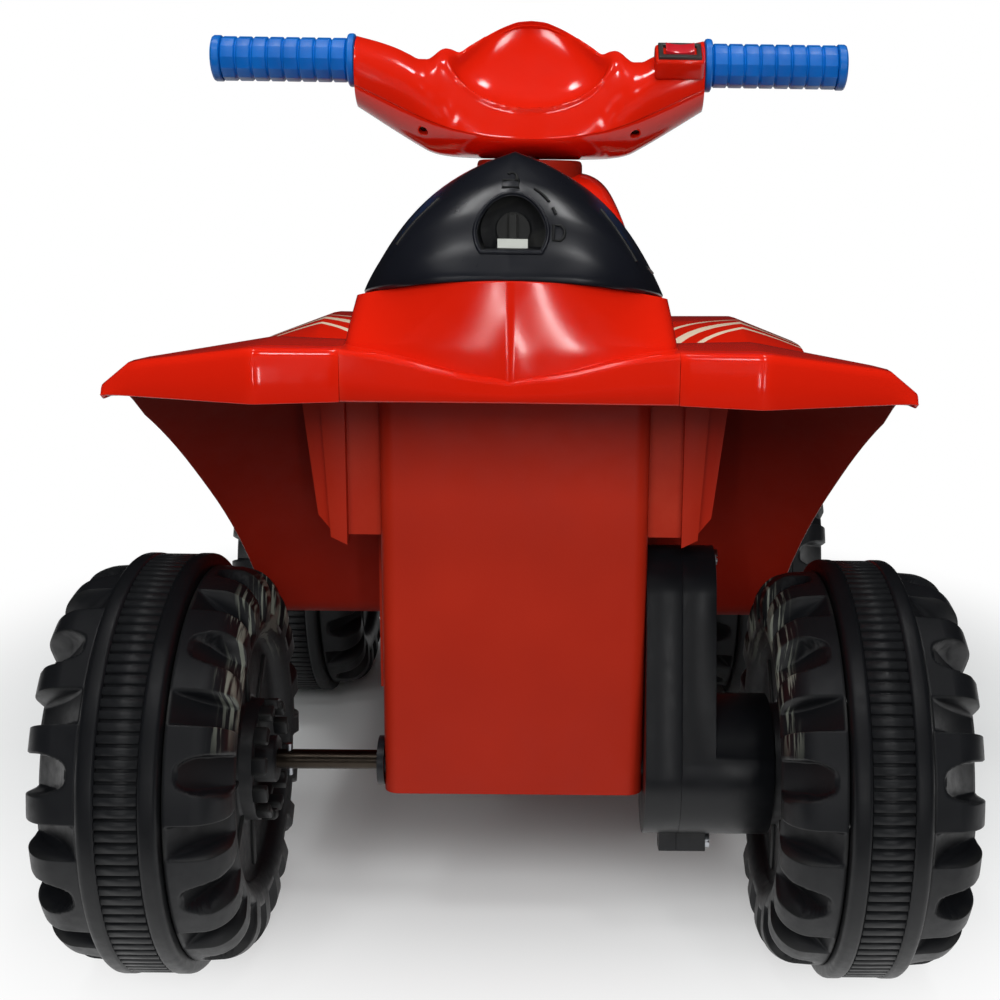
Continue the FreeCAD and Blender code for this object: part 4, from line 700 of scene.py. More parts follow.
def treadSector(name, s, material):
    # one repeat of a tyre: a flat lug with a scoop in its middle, half a trough at each side
    profile = treadProfile(s)
    reach = [0.0]
    for first, last in zip(profile, profile[1:]):
        reach.append(reach[-1] + math.hypot(last[0] - first[0], last[1] - first[1]))

    def floorLine(startX, deep, endR):
        begin = next(i for i, (x, r) in enumerate(profile) if x >= startX)
        end = next(i for i, (x, r) in enumerate(profile) if i > begin and r <= endR)
        (beginX, beginR), (endX, lastR) = profile[begin], profile[end]
        floor = []
        for index, (x, r) in enumerate(profile):
            part = (reach[index] - reach[begin]) / (reach[end] - reach[begin])
            if part <= 0:
                floor.append((x, r - deep))
            elif part >= 1:
                floor.append((x, r))
            else:
                sag = s["sag"] * math.sin(math.pi * part)
                floor.append((beginX + (endX - beginX) * part - sag,
                              beginR - deep + (lastR - beginR + deep) * part - sag))
        return floor

    scoop = floorLine(s["scoopStart"], s["scoopDeep"], s["scoopEndR"])
    trough = floorLine(s["troughStart"], s["troughDeep"], s["troughEndR"])
    half = 180.0 / s["repeats"]
    side = s["columns"] + [half]
    angles = [-angle for angle in reversed(side[1:])] + side
    soft, blend, wideEnd = s["soft"], s["blend"], s["scoopRound"]
    points = []
    for (x, r), (scoopX, scoopR), (troughX, troughR) in zip(profile, scoop, trough):
        along = scoopX - s["scoopStart"] + blend
        if along <= 0:
            wide = -1.0
        elif along < wideEnd:
            wide = math.sqrt(wideEnd ** 2 - (wideEnd - along) ** 2)
        else:
            wide = wideEnd + s["scoopFlare"] * (along - wideEnd)
        begun = 1.0
        if r > s["side"][1]:
            begun = ease(s["troughStart"] - blend, s["troughStart"] + blend, x)
        for angle in angles:
            turn = math.radians(angle)
            across = abs(turn) * s["meanR"]
            fromEdge = abs(math.radians(half) * s["meanR"] - across)
            inScoop = ease(-soft, soft, wide - across)
            inTrough = begun * ease(-soft, soft, s["troughHalf"] - fromEdge)
            points.append(fromTop(x + inScoop * (scoopX - x) + inTrough * (troughX - x),
                                  r + inScoop * (scoopR - r) + inTrough * (troughR - r), turn))
    return meshPiece(name, points, gridFaces(len(profile), len(angles)), material)


def tyreHalf(name, s, material):
    tyre = ringOf(treadSector(name, s, material), s["repeats"], material, s["weld"])
    tidyMesh(tyre.data, s["weld"])
    return turnOut(tyre, Vector((0, 0, 0)))


def arcBlock(name, block, material):
    # block of a ring, its edges rounded
    x0, x1, r0, r1, halfAngle, widthMm = block
    points = []
    for x, r in ((x0, r0), (x1, r0), (x1, r1), (x0, r1)):
        for angle in spread(-halfAngle, halfAngle, 5):
            points.append(fromTop(x, r, math.radians(angle)))
    faces = gridFaces(4, 5) + [(15 + c, 16 + c, 1 + c, c) for c in range(4)]
    faces += [(0, 5, 10, 15), (19, 14, 9, 4)]
    return softEdges(meshPiece(name, points, faces, material), widthMm, 2, 50.0)


def wheelParts(s):
    # both halves, the strip and the cap of one wheel, about the origin, its outer face along +X
    rivets = latheX("rivets", s["rivet"], wheelBlack, 20)
    rivets.data.transform(turned(30, "X") @ Matrix.Translation((0, 0, s["rivetR"])))
    outer = joinPieces("outer half", [
        tyreHalf("outer tyre", s, wheelBlack), latheX("outer face", s["outerFace"], wheelBlack),
        ringOf(arcBlock("spokes", s["spoke"], wheelBlack), 6, wheelBlack),
        ringOf(rivets, 6, wheelBlack)])

    blocks = arcBlock("hub blocks", s["hubBlock"], wheelBlack)
    blocks.data.transform(turned(15, "X"))
    inner = joinPieces("inner half", [
        tyreHalf("inner tyre", s, scuffedBlack), latheX("inner face", s["innerFace"], wheelBlack),
        ringOf(blocks, 12, wheelBlack),
        ringOf(arcBlock("disc ribs", s["discRib"], wheelBlack), 8, wheelBlack)])
    inner.data.transform(mirrorAcross)
    inner.data.flip_normals()

    wide, low, high = s["ribHalf"], s["groove"], s["ribFloor"]
    right = latheX("margin", s["margin"], bandRubber, 144)
    left = mirrored("margin left", right)
    floor = latheX("rib floor", [(-wide, low), (-wide, high), (wide, high), (wide, low)],
                   bandRubber, 144)
    points = [Vector((x, y, z)) / metre for half, z in s["ribLevels"]
              for x, y in ((-wide, -half), (wide, -half), (wide, half), (-wide, half))]
    faces = [(0, 1, 5, 4), (4, 5, 9, 8), (8, 9, 10, 11), (11, 10, 6, 7), (7, 6, 2, 3),
             (0, 4, 8, 11, 7, 3), (1, 2, 6, 10, 9, 5)]
    rib = ringOf(meshPiece("ribs", points, faces, bandRubber), s["ribs"], bandRubber)
    strip = joinPieces("strip", [right, left, floor, rib])

    cap = joinPieces("cap", [
        latheX("cap", s["cap"], capRed, 72),
        ringOf(arcBlock("cap ribs", s["capRib"], capRed), 12, capRed)])
    return {"wheel_outer": outer, "wheel_inner": inner, "traction_band": strip, "hub_cap": cap}


wheelModel = wheelParts(wheelSettings)
wheelSlots = {"wheel_outer": "wheel_black", "wheel_inner": "wheel_black",
              "traction_band": "band_rubber", "hub_cap": "cap_red"}
corners = {"front_right": (1, wheelSettings["front"]), "front_left": (-1, wheelSettings["front"]),
           "rear_right": (1, 0.0), "rear_left": (-1, 0.0)}
for corner, (hand, ahead) in corners.items():
    centre = Matrix.Translation(spot(hand * wheelSettings["place"], ahead, axleHeight))
    if hand < 0:
        centre = centre @ mirrorAcross
    for part, model in wheelModel.items():
        piece = copyPiece(corner + "_" + part + "_look", model, centre, hand < 0)
        dress(piece, corner + "_wheel", wheelSlots[part], corner + "_" + part)
for model in wheelModel.values():
    dropPiece(model)
print("wheels ready")


# fender panels

fenderSettings = {
    "inner": 74.1, "thick": 3.0, "edges": (0.7, 2, 60.0), "rearFoot": 115.0, "frontFoot": 258.0,
    "frontCrown": 402.0, "board": 152.0, "boardHalf": 148.0, "edge": 183.0, "frontTip": 204.0,
    "round": 7.0,
    # the rolled lips at the two ends: heights, runs and radii
    "lipLow": 304.0, "lipRows": 10, "lipLean": 1.6, "lipRun": 5.2, "lipBend": 3.6, "lipRise": 4.0,
    "frontLip": 490.0, "frontDrop": 26.0, "frontRun": 8.0, "frontBend": 7.0, "frontFall": 4.0,
    # x, lip behind the axle, crown height, crown's place, softness of the arch
    "rear": [
        (74.1, 77.0, 327.0, -40.0, 0.5523), (108.8, 86.7, 328.0, -40.0, 0.5523),
        (111.2, 86.7, 328.0, -40.3, 0.546), (169.0, 66.0, 319.0, -52.0, 0.3),
        (183.0, 62.0, 308.0, -52.0, 0.3)],
    "front": [(74.1, 298.0), (153.0, 299.0), (157.0, 299.0), (204.0, 281.0)],
    "rearEdge": ((148.0, 149.0), (167.0, 226.0), (183.0, 288.0)),
    "frontEdge": ((148.0, 149.0), (175.0, 218.0), (204.0, 274.0)),
    # the ridge that runs along the sheet, and how columns are shared out beside it
    "rearRidge": 110.0, "frontRidge": 155.0, "ridgeMost": 0.62, "ridgeShare": 0.45,
    "shares": [0.0, 0.06, 0.14, 0.22, 0.3, 0.36, 0.4, 0.425, 0.45, 0.475, 0.5, 0.55, 0.62, 0.7,
               0.78, 0.85, 0.9, 0.94, 0.97, 0.985, 1.0],
    # corners of the first bar or flange, then how many there are and how far apart
    "footBar": ((84.0, 152.0, 150.0), (130.0, 156.4, 153.6)), "footBars": (5, 0.016),
    "flange": ((74.3, 135.0, 132.0), (77.3, 165.0, 150.5)), "flanges": (2, 0.080),
}
cornerParts = (0.0, 0.33, 0.67, 1.0)


def edgeHalf(curve, z, widest):
    # how far out the panel reaches at a height
    if z >= curve[2][1]:
        return widest
    rows = sorted((height, x) for x, height in arcThrough(*curve, 40))
    return straightTable(rows, z)[0]


def fenderTrail(s, x):
    # side outline of the panel at one distance from the middle: list of (ahead, z, stretch)
    lipBack, crownZ, crown, soft = straightTable(s["rear"], x)
    frontZ = straightTable(s["front"], x)[0]
    board, bend = s["board"], s["round"]
    lipTop, lipEnd = crownZ - s["lipRise"], s["lipRun"] - lipBack
    trail = []
    for part in (0.0, 0.35, 0.7):
        trail.append((s["lipLean"] * part - lipBack,
                      s["lipLow"] + (lipTop - s["lipLow"]) * part / 0.7, "rear"))
    for c, d in quarterArc((0.25, 0.5, 0.75, 1.0)):
        trail.append((lipEnd - s["lipBend"] * c, lipTop + s["lipRise"] * d, "rear"))
    for part in (0.35, 0.7):
        trail.append((lipEnd + (crown - lipEnd) * part, crownZ, "rear"))
    for part in spread(0.0, 0.9, 24):
        left = 1 - part
        run = 3 * soft * part * left ** 2 + 3 * part ** 2 * left + part ** 3
        rise = left ** 3 + 3 * part * left ** 2 + 3 * soft * part ** 2 * left
        trail.append((crown + (s["rearFoot"] - crown) * run,
                      board + (crownZ - board) * rise, "rear"))
    for c, d in quarterArc(cornerParts):
        trail.append((s["rearFoot"] + bend * (1 - c), board + bend * (1 - d), "rear"))
    for ahead in spread(s["rearFoot"] + bend, s["frontFoot"] - bend, 7)[1:-1]:
        trail.append((ahead, board, "board"))
    for c, d in quarterArc(cornerParts):
        trail.append((s["frontFoot"] - bend * (1 - d), board + bend * (1 - c), "front"))
    for c, d in quarterArc(spread(0.0, 1.0, 24)):
        z = board + (frontZ - board) * d
        if z > board + bend:
            trail.append((s["frontCrown"] - (s["frontCrown"] - s["frontFoot"]) * c, z, "front"))
    lipStart = s["frontLip"] - s["frontRun"]
    for part in (0.4, 0.8):
        trail.append((s["frontCrown"] + (lipStart - s["frontCrown"]) * part,
                      frontZ - s["frontFall"] * part ** 2, "front"))
    for c, d in quarterArc(cornerParts):
        trail.append((lipStart + s["frontBend"] * d,
                      frontZ - s["frontFall"] - s["frontBend"] * (1 - c), "front"))
    trail.append((s["frontLip"], frontZ - s["frontDrop"], "front"))
    return trail


def fenderPanel(name, s):
    inner, bend = s["inner"], s["ridgeShare"]
    kinds = [kind for ahead, z, kind in fenderTrail(s, inner)]
    points = []
    for row, kind in enumerate(kinds):
        half = s["boardHalf"]
        for attempt in range(4):
            z = fenderTrail(s, half)[row][1]
            if kind == "rear":
                half = edgeHalf(s["rearEdge"], z, s["edge"]) if row >= s["lipRows"] else s["edge"]
            elif kind == "front":
                half = edgeHalf(s["frontEdge"], z, s["frontTip"])
        ridge = s["rearRidge"] if kind == "rear" else s["frontRidge"]
        ridge = min(ridge, inner + s["ridgeMost"] * (half - inner))
        for share in s["shares"]:
            if share <= bend:
                x = inner + (ridge - inner) * share / bend
            else:
                x = ridge + (half - ridge) * (share - bend) / (1 - bend)
            points.append(spot(x, *fenderTrail(s, x)[row][:2]))
    panel = meshPiece(name, points, gridFaces(len(kinds), len(s["shares"])), fenderRed)
    # the sheet's back, facing the wheel, takes the darker red as painted shade
    panel.data.materials.append(dullShadedRed)
    turnOut(panel, spot(inner, s["rearFoot"], -400.0))
    thickWall(panel, s["thick"], 1)
    return softEdges(panel, *s["edges"])


def rowOfBoxes(name, corners, row, widthMm, segments):
    count, step = row
    box = roundedBox(name, *corners, glossRed, widthMm, segments)
    return repeated(box, rowTree, count, (0, step, 0), glossRed)


rightFender = joinPieces("right_fender_panel_look", [
    fenderPanel("fender sheet", fenderSettings),
    rowOfBoxes("foot bars", fenderSettings["footBar"], fenderSettings["footBars"], 1.1, 3),
    rowOfBoxes("fixing flanges", fenderSettings["flange"], fenderSettings["flanges"], 0.6, 2)])
leftFender = mirrored("left_fender_panel_look", rightFender)
dress(rightFender, "chassis", "gloss_red", "right_fender_panel")
dress(leftFender, "chassis", "gloss_red", "left_fender_panel")
print("fender panels ready")


# centre body

tubSettings = {
    "bend": 328.0, "front": 190.0, "rimRear": 357.0, "fall": 0.09, "crown": 6.5,
    "crownEnd": (20.0, 150.0), "thick": 3.0, "edges": (1.2, 3, 60.0), "lean": 1.15,
    "inside": (0, 60, 320),
    "keel": 2.4, "keelWide": 10.0, "keelLoss": 0.7, "keelFade": (308.0, 357.0),
    "base": {"half": 74.0, "back": 73.0, "cornerX": 67.0, "cornerBack": 65.5, "sideBack": 55.0},
    "rim": {"half": 70.0, "back": 72.0, "cornerX": 63.0, "cornerBack": 55.0, "sideBack": 44.0},
    # heights of the upright foot, then shares of the leaning wall
    "levels": (296.0, 303.9, 304.1, 309.0, 314.0, 319.0, 324.0),
    "shares": (0.0, 0.06, 0.14, 0.25, 0.4, 0.55, 0.7, 0.85, 0.95, 1.0),
    # the back steps in below the lip, up to this place and by this share
    "tuck": -12.0, "tuckShare": 0.85,
    "lipLow": 304.0, "lipBack": (76.0, 77.0), "lipRound": 3.0, "lipEdge": 0.8, "lipIn": 1.5,
    "lipLift": (0.2, 0.8),
    "lipTop": [(0, 314.6), (8, 315.5), (20, 317.0), (32, 319.5), (44, 322.5), (60, 325.5),
               (74, 327.0)],
    "deck": ((-71.0, 146.0, 332.0), (71.0, 194.0, 335.4)),
}


def rimHeight(x, ahead):
    # the rim falls towards the front, and at the back towards its corners
    s = tubSettings
    half = s["rim"]["half"]
    drop = s["crown"] * (min(abs(x), half) / half) ** 2 * (1 - ease(*s["crownEnd"], ahead))
    return s["rimRear"] - s["fall"] * (ahead + s["rim"]["back"]) - drop


def tubOutline(o, front):
    # right half of the tub seen from above, from the middle of the back to the front end
    bow = arcThrough((-o["cornerX"], -o["cornerBack"]), (0.0, -o["back"]),
                     (o["cornerX"], -o["cornerBack"]), 61)[30:]
    lean = (bow[-1][1] - bow[-2][1]) / (bow[-1][0] - bow[-2][0])
    elbow = (o["half"], -o["cornerBack"] + lean * (o["half"] - o["cornerX"]))
    trail = list(bow)
    for part in spread(0, 1, 9)[1:]:
        keep, turn, end = (1 - part) ** 2, 2 * part * (1 - part), part ** 2
        trail.append((keep * bow[-1][0] + turn * elbow[0] + end * o["half"],
                      keep * bow[-1][1] + turn * elbow[1] - end * o["sideBack"]))
    corner = len(trail)
    trail += [(o["half"], ahead) for ahead in spread(-o["sideBack"], front, 20)[1:]]
    return trail, corner


def tubShell(name, s):
    base = tubOutline(s["base"], s["front"])[0]
    rim = tubOutline(s["rim"], s["front"])[0]
    levels = [(0.0, z) for z in s["levels"]] + [(share, None) for share in s["shares"]]
    points = []
    for share, level in levels:
        lean = share ** s["lean"]
        right = []
        for (bx, bd), (rx, rd) in zip(base, rim):
            x, ahead = bx + (rx - bx) * lean, bd + (rd - bd) * lean
            z = level if level else s["bend"] + (rimHeight(rx, rd) - s["bend"]) * share
            if ahead < 0:
                fade = 1 - s["keelLoss"] * ease(*s["keelFade"], z)
                ahead -= s["keel"] * math.exp(-x / s["keelWide"]) * fade
            if z < s["lipLow"] and ahead < s["tuck"]:
                x, ahead = s["tuckShare"] * x, s["tuck"]
            right.append((x, ahead, z))
        points += [spot(-x, ahead, z) for x, ahead, z in reversed(right[1:])]
        points += [spot(*point) for point in right]
    tub = meshPiece(name, points, gridFaces(len(levels), 2 * len(base) - 1), glossRed)
    thickWall(turnOut(tub, spot(*s["inside"])), s["thick"])
    return softEdges(tub, *s["edges"])


def centreLip(name, s):
    trail, corner = tubOutline(s["base"], s["front"])
    wall = sorted(trail[:corner])
    half, low, bend, edge = s["base"]["half"], s["lipLow"], s["lipRound"], s["lipEdge"]
    lift, lastLift = s["lipLift"]
    rings = []
    for x in spread(-half, half, 91):
        top = alongTable(s["lipTop"], abs(x))[0]
        back = -(s["lipBack"][0] + (s["lipBack"][1] - s["lipBack"][0]) * abs(x) / half)
        inner = straightTable(wall, abs(x))[0] + s["lipIn"]
        section = [(inner, low), (back + edge, low), (back, low + edge),
                   (back, (low + top - bend) / 2)]
        for c, d in quarterArc(spread(0, 1, 6)):
            section.append((back + bend * (1 - c), top - bend * (1 - d)))
        section += [((back + bend + inner) / 2, top + lift), (inner, top + lastLift)]
        rings.append([spot(x, ahead, z) for ahead, z in section])
    return closedLoft(name, rings, glossRed)


cowlSettings = {
    # ahead, then half widths and heights of the foot, the shoulder and the top
    "sections": [
        (185.0, 74.0, 296.0, 68.0, 336.0, 58.0, 342.0),
        (205.0, 74.0, 296.0, 62.0, 374.0, 50.0, 388.0),
        (257.0, 74.0, 296.0, 57.0, 388.0, 42.0, 406.0),
        (310.0, 74.0, 296.0, 58.0, 370.0, 42.0, 388.0),
        (412.0, 74.0, 280.0, 60.0, 324.0, 46.0, 340.0),
        (487.0, 72.0, 258.0, 60.0, 292.0, 46.0, 304.0),
        (535.0, 60.0, 236.0, 52.0, 268.0, 42.0, 276.0)],
    "thick": 3.0, "edges": (5.0, 4, 45.0), "inside": (0, 350, 250), "flat": 0.4, "flankOut": 1,
    # past the chassis box the foot reaches down beside the fenders
    "skirt": 18.0, "skirtFrom": (282.0, 292.0), "skirtTo": (350.0, 420.0),
    "neckAhead": 257.0,
    "neck": [(380.0, 38.0), (392.0, 36.4), (398.0, 34.8), (401.0, 34.1), (410.5, 34.0),
             (412.4, 33.4), (413.2, 32.4), (413.5, 30.6), (413.5, 12.0), (413.0, 9.6),
             (400.0, 9.2)],
    # the seat's hinge: its place, its rise over the rim, the ears' near side and their feet
    "hinge": 176.0, "hingeRise": 8.0, "ear": 36.0, "earFoot": (169.6, 182.4, 334.0),
    # width and profile of the hinge's eyes, counted from their near side
    "eyeWide": 8.0,
    "eye": [(0.0, 3.1), (0.0, 5.8), (0.7, 6.5), (7.3, 6.5), (8.0, 5.8), (8.0, 3.1)],
}


def roundOff(points, times):
    # corners of an open line cut away again and again, its ends kept
    for again in range(times):
        softer = [points[0]]
        for (ax, ay), (bx, by) in zip(points, points[1:]):
            softer += [(ax * 0.75 + bx * 0.25, ay * 0.75 + by * 0.25),
                       (ax * 0.25 + bx * 0.75, ay * 0.25 + by * 0.75)]
        points = softer + [points[-1]]
    return points


def cowlShell(name, s):
    rows = []
    for ahead in spread(s["sections"][0][0], s["sections"][-1][0], 64):
        footX, footZ, midX, midZ, topX, topZ = alongTable(s["sections"], ahead)
        footZ -= s["skirt"] * ease(*s["skirtFrom"], ahead) * (1 - ease(*s["skirtTo"], ahead))
        half = [(topX * s["flat"], topZ), (topX, topZ), (midX, midZ),
                ((footX + midX) / 2 + s["flankOut"], (footZ + midZ) / 2), (footX, footZ)]
        line = roundOff([(-x, z) for x, z in reversed(half)] + half, 3)
        rows.append([spot(x, ahead, z) for x, z in line])
    count = len(rows[0])
    faces = gridFaces(len(rows), count) + endCaps(count, len(rows) * count)
    cowl = meshPiece(name, [point for row in rows for point in row], faces, glossRed)
    softEdges(turnOut(cowl, spot(*s["inside"])), *s["edges"])
    return thickWall(cowl, s["thick"])


hingeZ = rimHeight(0.0, cowlSettings["hinge"]) + cowlSettings["hingeRise"]


def hingeEye(name, near, material):
    # a ring about the seat's hinge pin
    s = cowlSettings
    eye = latheX(name, [(near + x, radius) for x, radius in s["eye"]], material, 40)
    eye.data.transform(Matrix.Translation(spot(0, s["hinge"], hingeZ)))
    return eye


def bodyParts(s):
    # the neck is drawn in the darker red as painted shade
    neck = latheX("neck", s["neck"], dullShadedRed)
    neck.data.transform(Matrix.Translation(spot(0, s["neckAhead"], 0)) @ standUp)
    near, (back, front, low) = s["ear"], s["earFoot"]
    foot = roundedBox("ear foot", (near, back, low), (near + s["eyeWide"], front, hingeZ),
                      glossRed, 0.7)
    ears = joinPieces("ears", [foot, hingeEye("ear eye", near, glossRed)])
    return [tubShell("tub", tubSettings), centreLip("centre lip", tubSettings),
            cowlShell("cowl", s), neck, roundedBox("deck", *tubSettings["deck"], glossRed, 1.0),
            ears, mirrored("other ears", ears)]


centreBody = crispEdges(joinPieces("centre_body_look", bodyParts(cowlSettings)), 50.0)
dress(centreBody, "chassis", "gloss_red", "centre_body")
print("centre body ready")


# seat

seatSettings = {
    # ahead, half width, top, fullness of the section
    "rows": [
        (-71.9, 4.0, 358.4, 0.9), (-71.5, 20.0, 359.6, 0.9), (-70.5, 34.0, 362.0, 0.9),
        (-66.0, 49.0, 372.0, 0.8), (-56.0, 60.5, 386.0, 0.6), (-42.0, 67.0, 400.0, 0.35),
        (-18.0, 69.5, 412.0, 0.1), (16.0, 69.5, 400.0, 0.2), (52.0, 68.0, 375.0, 0.6),
        (96.0, 65.0, 364.0, 0.9), (138.0, 61.0, 357.0, 0.9), (162.0, 56.0, 347.5, 0.9),
        (167.0, 53.0, 343.0, 0.9), (168.0, 51.0, 340.5, 0.9)],
    "places": [-71.9, -71.8, -71.6, -71.3, -70.9, -70.4] + spread(-69.6, -40.0, 24)
              + spread(-38.0, 161.0, 78) + [163.0, 164.5, 166.0, 167.0, 167.6, 168.0],
    "gap": 0.3, "soft": 1.6, "ridge": 0.6, "ridgeWide": 2.6, "ridgeEnd": (-10.0, 20.0),
    # what fullness adds to the section's power and takes from its root
    "fullness": (1.3, 0.42),
    # the hump's tent: share and power of its flanks, then of its foot; where it ends
    "tent": (0.58, 1.3, 0.42, 4), "tentEnd": (0.6, 0.5),
    "footIn": (0.2, 1.0), "footRise": 0.8, "floor": (0.7, 0.35, -0.35, -0.7),
    "lockZ": 378.0, "lockR": 15.0, "lockFlat": 370.0, "lockPinch": 0.12, "lockFloor": -36.0,
    "lockMouth": -90.0,
    # how near to the pocket's wall, foot, mouth and floor a face counts as its inside, which is
    # painted dark as shade
    "pocketShadeNear": (0.6, 0.5, 1.2, 1.0),
    "bead": 0.9, "beadOut": 1.1, "beadFoot": 13.0, "beadLift": 0.1, "mark": 0.75, "markOut": 0.15,
    "sideMark": 0.8,
    # relief marks on the back as (x, z), drawn in a darker black as painted shade of engraved
    # strokes
    "openLock": [(-4.6, 396.4), (2.6, 396.4), (2.6, 399.4), (-4.6, 399.4)],
    "openBow": [(1.6, 399.4)] + [(-0.6 + 2.2 * math.cos(turn), 400.6 + 2.2 * math.sin(turn))
                                 for turn in spread(0.0, 2.4, 9)],
    "shutLock": [(18.4, 380.4), (18.4, 374.2), (21.4, 374.2), (22.8, 375.6), (23.2, 377.3),
                 (22.8, 379.0), (21.4, 380.4)],
    "sweepR": 20.4, "sweeps": ((0.66, 1.08), (0.36, 0.5)),
    # groove lines beside the hump, dark tubes half sunk in as painted shade of the grooves
    "sideLines": [
        [(-33.5, 391.0), (-38.0, 386.5), (-43.0, 381.5), (-47.5, 376.0), (-51.0, 371.0)],
        [(39.5, 387.0), (44.0, 381.5), (48.0, 376.0), (52.0, 370.0), (55.0, 365.0)],
        [(60.5, 362.0), (62.0, 360.4), (63.5, 358.8)]],
    "arm": 26.0, "armAhead": (160.0, 176.0), "armRise": (-4.0, 2.0), "edges": (0.8, 2, 50.0),
}


def seatHeight(s, x, ahead):
    half, top, full = alongTable(s["rows"], ahead)
    low = rimHeight(half, ahead) + s["gap"] + s["soft"]
    part = min(1.0, abs(x) / half)
    power, root = s["fullness"]
    share = max(0.0, 1 - part ** (2 + power * full)) ** (1 - root * full)
    flank, flankPower, foot, footPower = s["tent"]
    end, run = s["tentEnd"]
    tent = max(0.0, min(1.0, (end - full) / run))
    share = share * (1 - tent) + (1 - flank * part ** flankPower - foot * part ** footPower) * tent
    ridge = s["ridge"] * math.exp(-(x / s["ridgeWide"]) ** 2) * share
    return low + (top - low) * share + ridge * (1 - ease(*s["ridgeEnd"], ahead))


def seatPad(name, s):
    sides = [math.sin(turn) for turn in spread(-quarter, quarter, 65)]
    near, deep = s["footIn"]
    rings = []
    for ahead in s["places"]:
        half = alongTable(s["rows"], ahead)[0]
        base = rimHeight(half, ahead) + s["gap"]
        ring = [spot(half * side, ahead, seatHeight(s, half * side, ahead)) for side in sides]
        ring += [spot(half - near, ahead, base + s["footRise"]), spot(half - deep, ahead, base)]
        ring += [spot(half * side, ahead, rimHeight(half * side, ahead) + s["gap"])
                 for side in s["floor"]]
        ring += [spot(deep - half, ahead, base), spot(near - half, ahead, base + s["footRise"])]
        rings.append(ring)
    return closedLoft(name, rings, seatBlack)


def lockShape(s, grown, count):
    # the lock's pocket, grown all round: round top and flat foot, as (x, z)
    radius, height = s["lockR"] + grown, s["lockZ"]
    start = math.asin((s["lockFlat"] - grown - height) / radius)
    return [(radius * math.cos(turn) * (1 - s["lockPinch"] * max(0.0, math.sin(turn))),
             height + radius * math.sin(turn)) for turn in spread(start, math.pi - start, count)]


def rearOfSeat(s, x, z):
    # how far back the seat stands at a height
    low, high = s["rows"][0][0], s["rows"][6][0]
    for step in range(26):
        middle = (low + high) / 2
        half = alongTable(s["rows"], middle)[0]
        if abs(x) < half and seatHeight(s, x, middle) > z:
            high = middle
        else:
            low = middle
    return high


def tube(name, path, radiusMm, material, closed=False, sides=8):
    points = []
    count = len(path)
    for index, here in enumerate(path):
        after = path[(index + 1) % count] if closed or index < count - 1 else here
        before = path[index - 1] if closed or index > 0 else here
        along = (after - before).normalized()
        side = along.cross(Vector((0, 1, 0.3))).normalized()
        up = side.cross(along)
        for turn in range(sides):
            angle = 2 * math.pi * turn / sides
            out = side * math.cos(angle) + up * math.sin(angle)
            points.append(here + out * radiusMm / metre)
    faces = gridFaces(count, sides, True)
    if closed:
        last = (count - 1) * sides
        faces += [(last + c, last + (c + 1) % sides, (c + 1) % sides, c) for c in range(sides)]
    else:
        faces += endCaps(sides, len(points))
    return meshPiece(name, points, faces, material)


def onSeat(s, marks, out):
    return [spot(x, rearOfSeat(s, x, z) - out, z) for x, z in marks]


def carvedSeat(s):
    shape = lockShape(s, 0.0, 40)
    pocket = closedLoft("lock pocket", [[spot(x, ahead, z) for x, z in shape]
                                        for ahead in (s["lockMouth"], s["lockFloor"])], seatBlack)
    pad = seatPad("seat pad", s)
    carve(pad, [pocket])
    softEdges(pad, *s["edges"])
    # the pocket's inside is drawn in the darker wheel black as painted shade
    pad.data.materials.append(wheelBlack)
    wall, foot, mouth, floor = s["pocketShadeNear"]
    for face in pad.data.polygons:
        x, y, z = face.center * metre
        ahead = y - rearAxle
        around = math.hypot(x, z - s["lockZ"]) < s["lockR"] + wall and z > s["lockFlat"] - foot
        if around and rearOfSeat(s, x, z) + mouth < ahead < s["lockFloor"] + floor:
            face.material_index = 1
    return pad


def seatMarks(s):
    # the marks and side lines are drawn in the darker wheel black as painted shade of their grooves
    marks = [tube(name, onSeat(s, line, s["markOut"]), s["mark"], wheelBlack, closed)
             for name, line, closed in (("open lock", s["openLock"], True),
                                        ("shut lock", s["shutLock"], True),
                                        ("open bow", s["openBow"], False))]
    for low, high in s["sweeps"]:
        line = [(s["sweepR"] * math.cos(turn), s["lockZ"] + s["sweepR"] * math.sin(turn))
                for turn in spread(low, high, 9)]
        marks.append(tube("sweep line", onSeat(s, line, s["markOut"]), s["mark"], wheelBlack))
    for line in s["sideLines"]:
        marks.append(tube("side line", onSeat(s, line, 0.0), s["sideMark"], wheelBlack))
    return marks


def seatParts(s):
    beadLine = lockShape(s, s["beadOut"], 60)
    beadLine += [(x, s["lockFlat"] - s["beadOut"])
                 for x in spread(-s["beadFoot"], s["beadFoot"], 14)]
    bead = tube("lock bead", onSeat(s, beadLine, s["beadLift"]), s["bead"], seatBlack, True)
    near, far = s["arm"], s["arm"] + cowlSettings["eyeWide"]
    (back, front), (low, high) = s["armAhead"], s["armRise"]
    arm = roundedBox("seat arm", (near, back, hingeZ + low), (far, front, hingeZ + high),
                     seatBlack, 0.8)
    hinge = joinPieces("seat hinge", [hingeEye("seat eye", near, seatBlack), arm])
    return [carvedSeat(s), bead, hinge, mirrored("other hinge", hinge)] + seatMarks(s)


seatPiece = crispEdges(joinPieces("seat_look", seatParts(seatSettings)), 50.0)
dress(seatPiece, "seat", "seat_black", "seat")
print("seat ready")


# handlebar

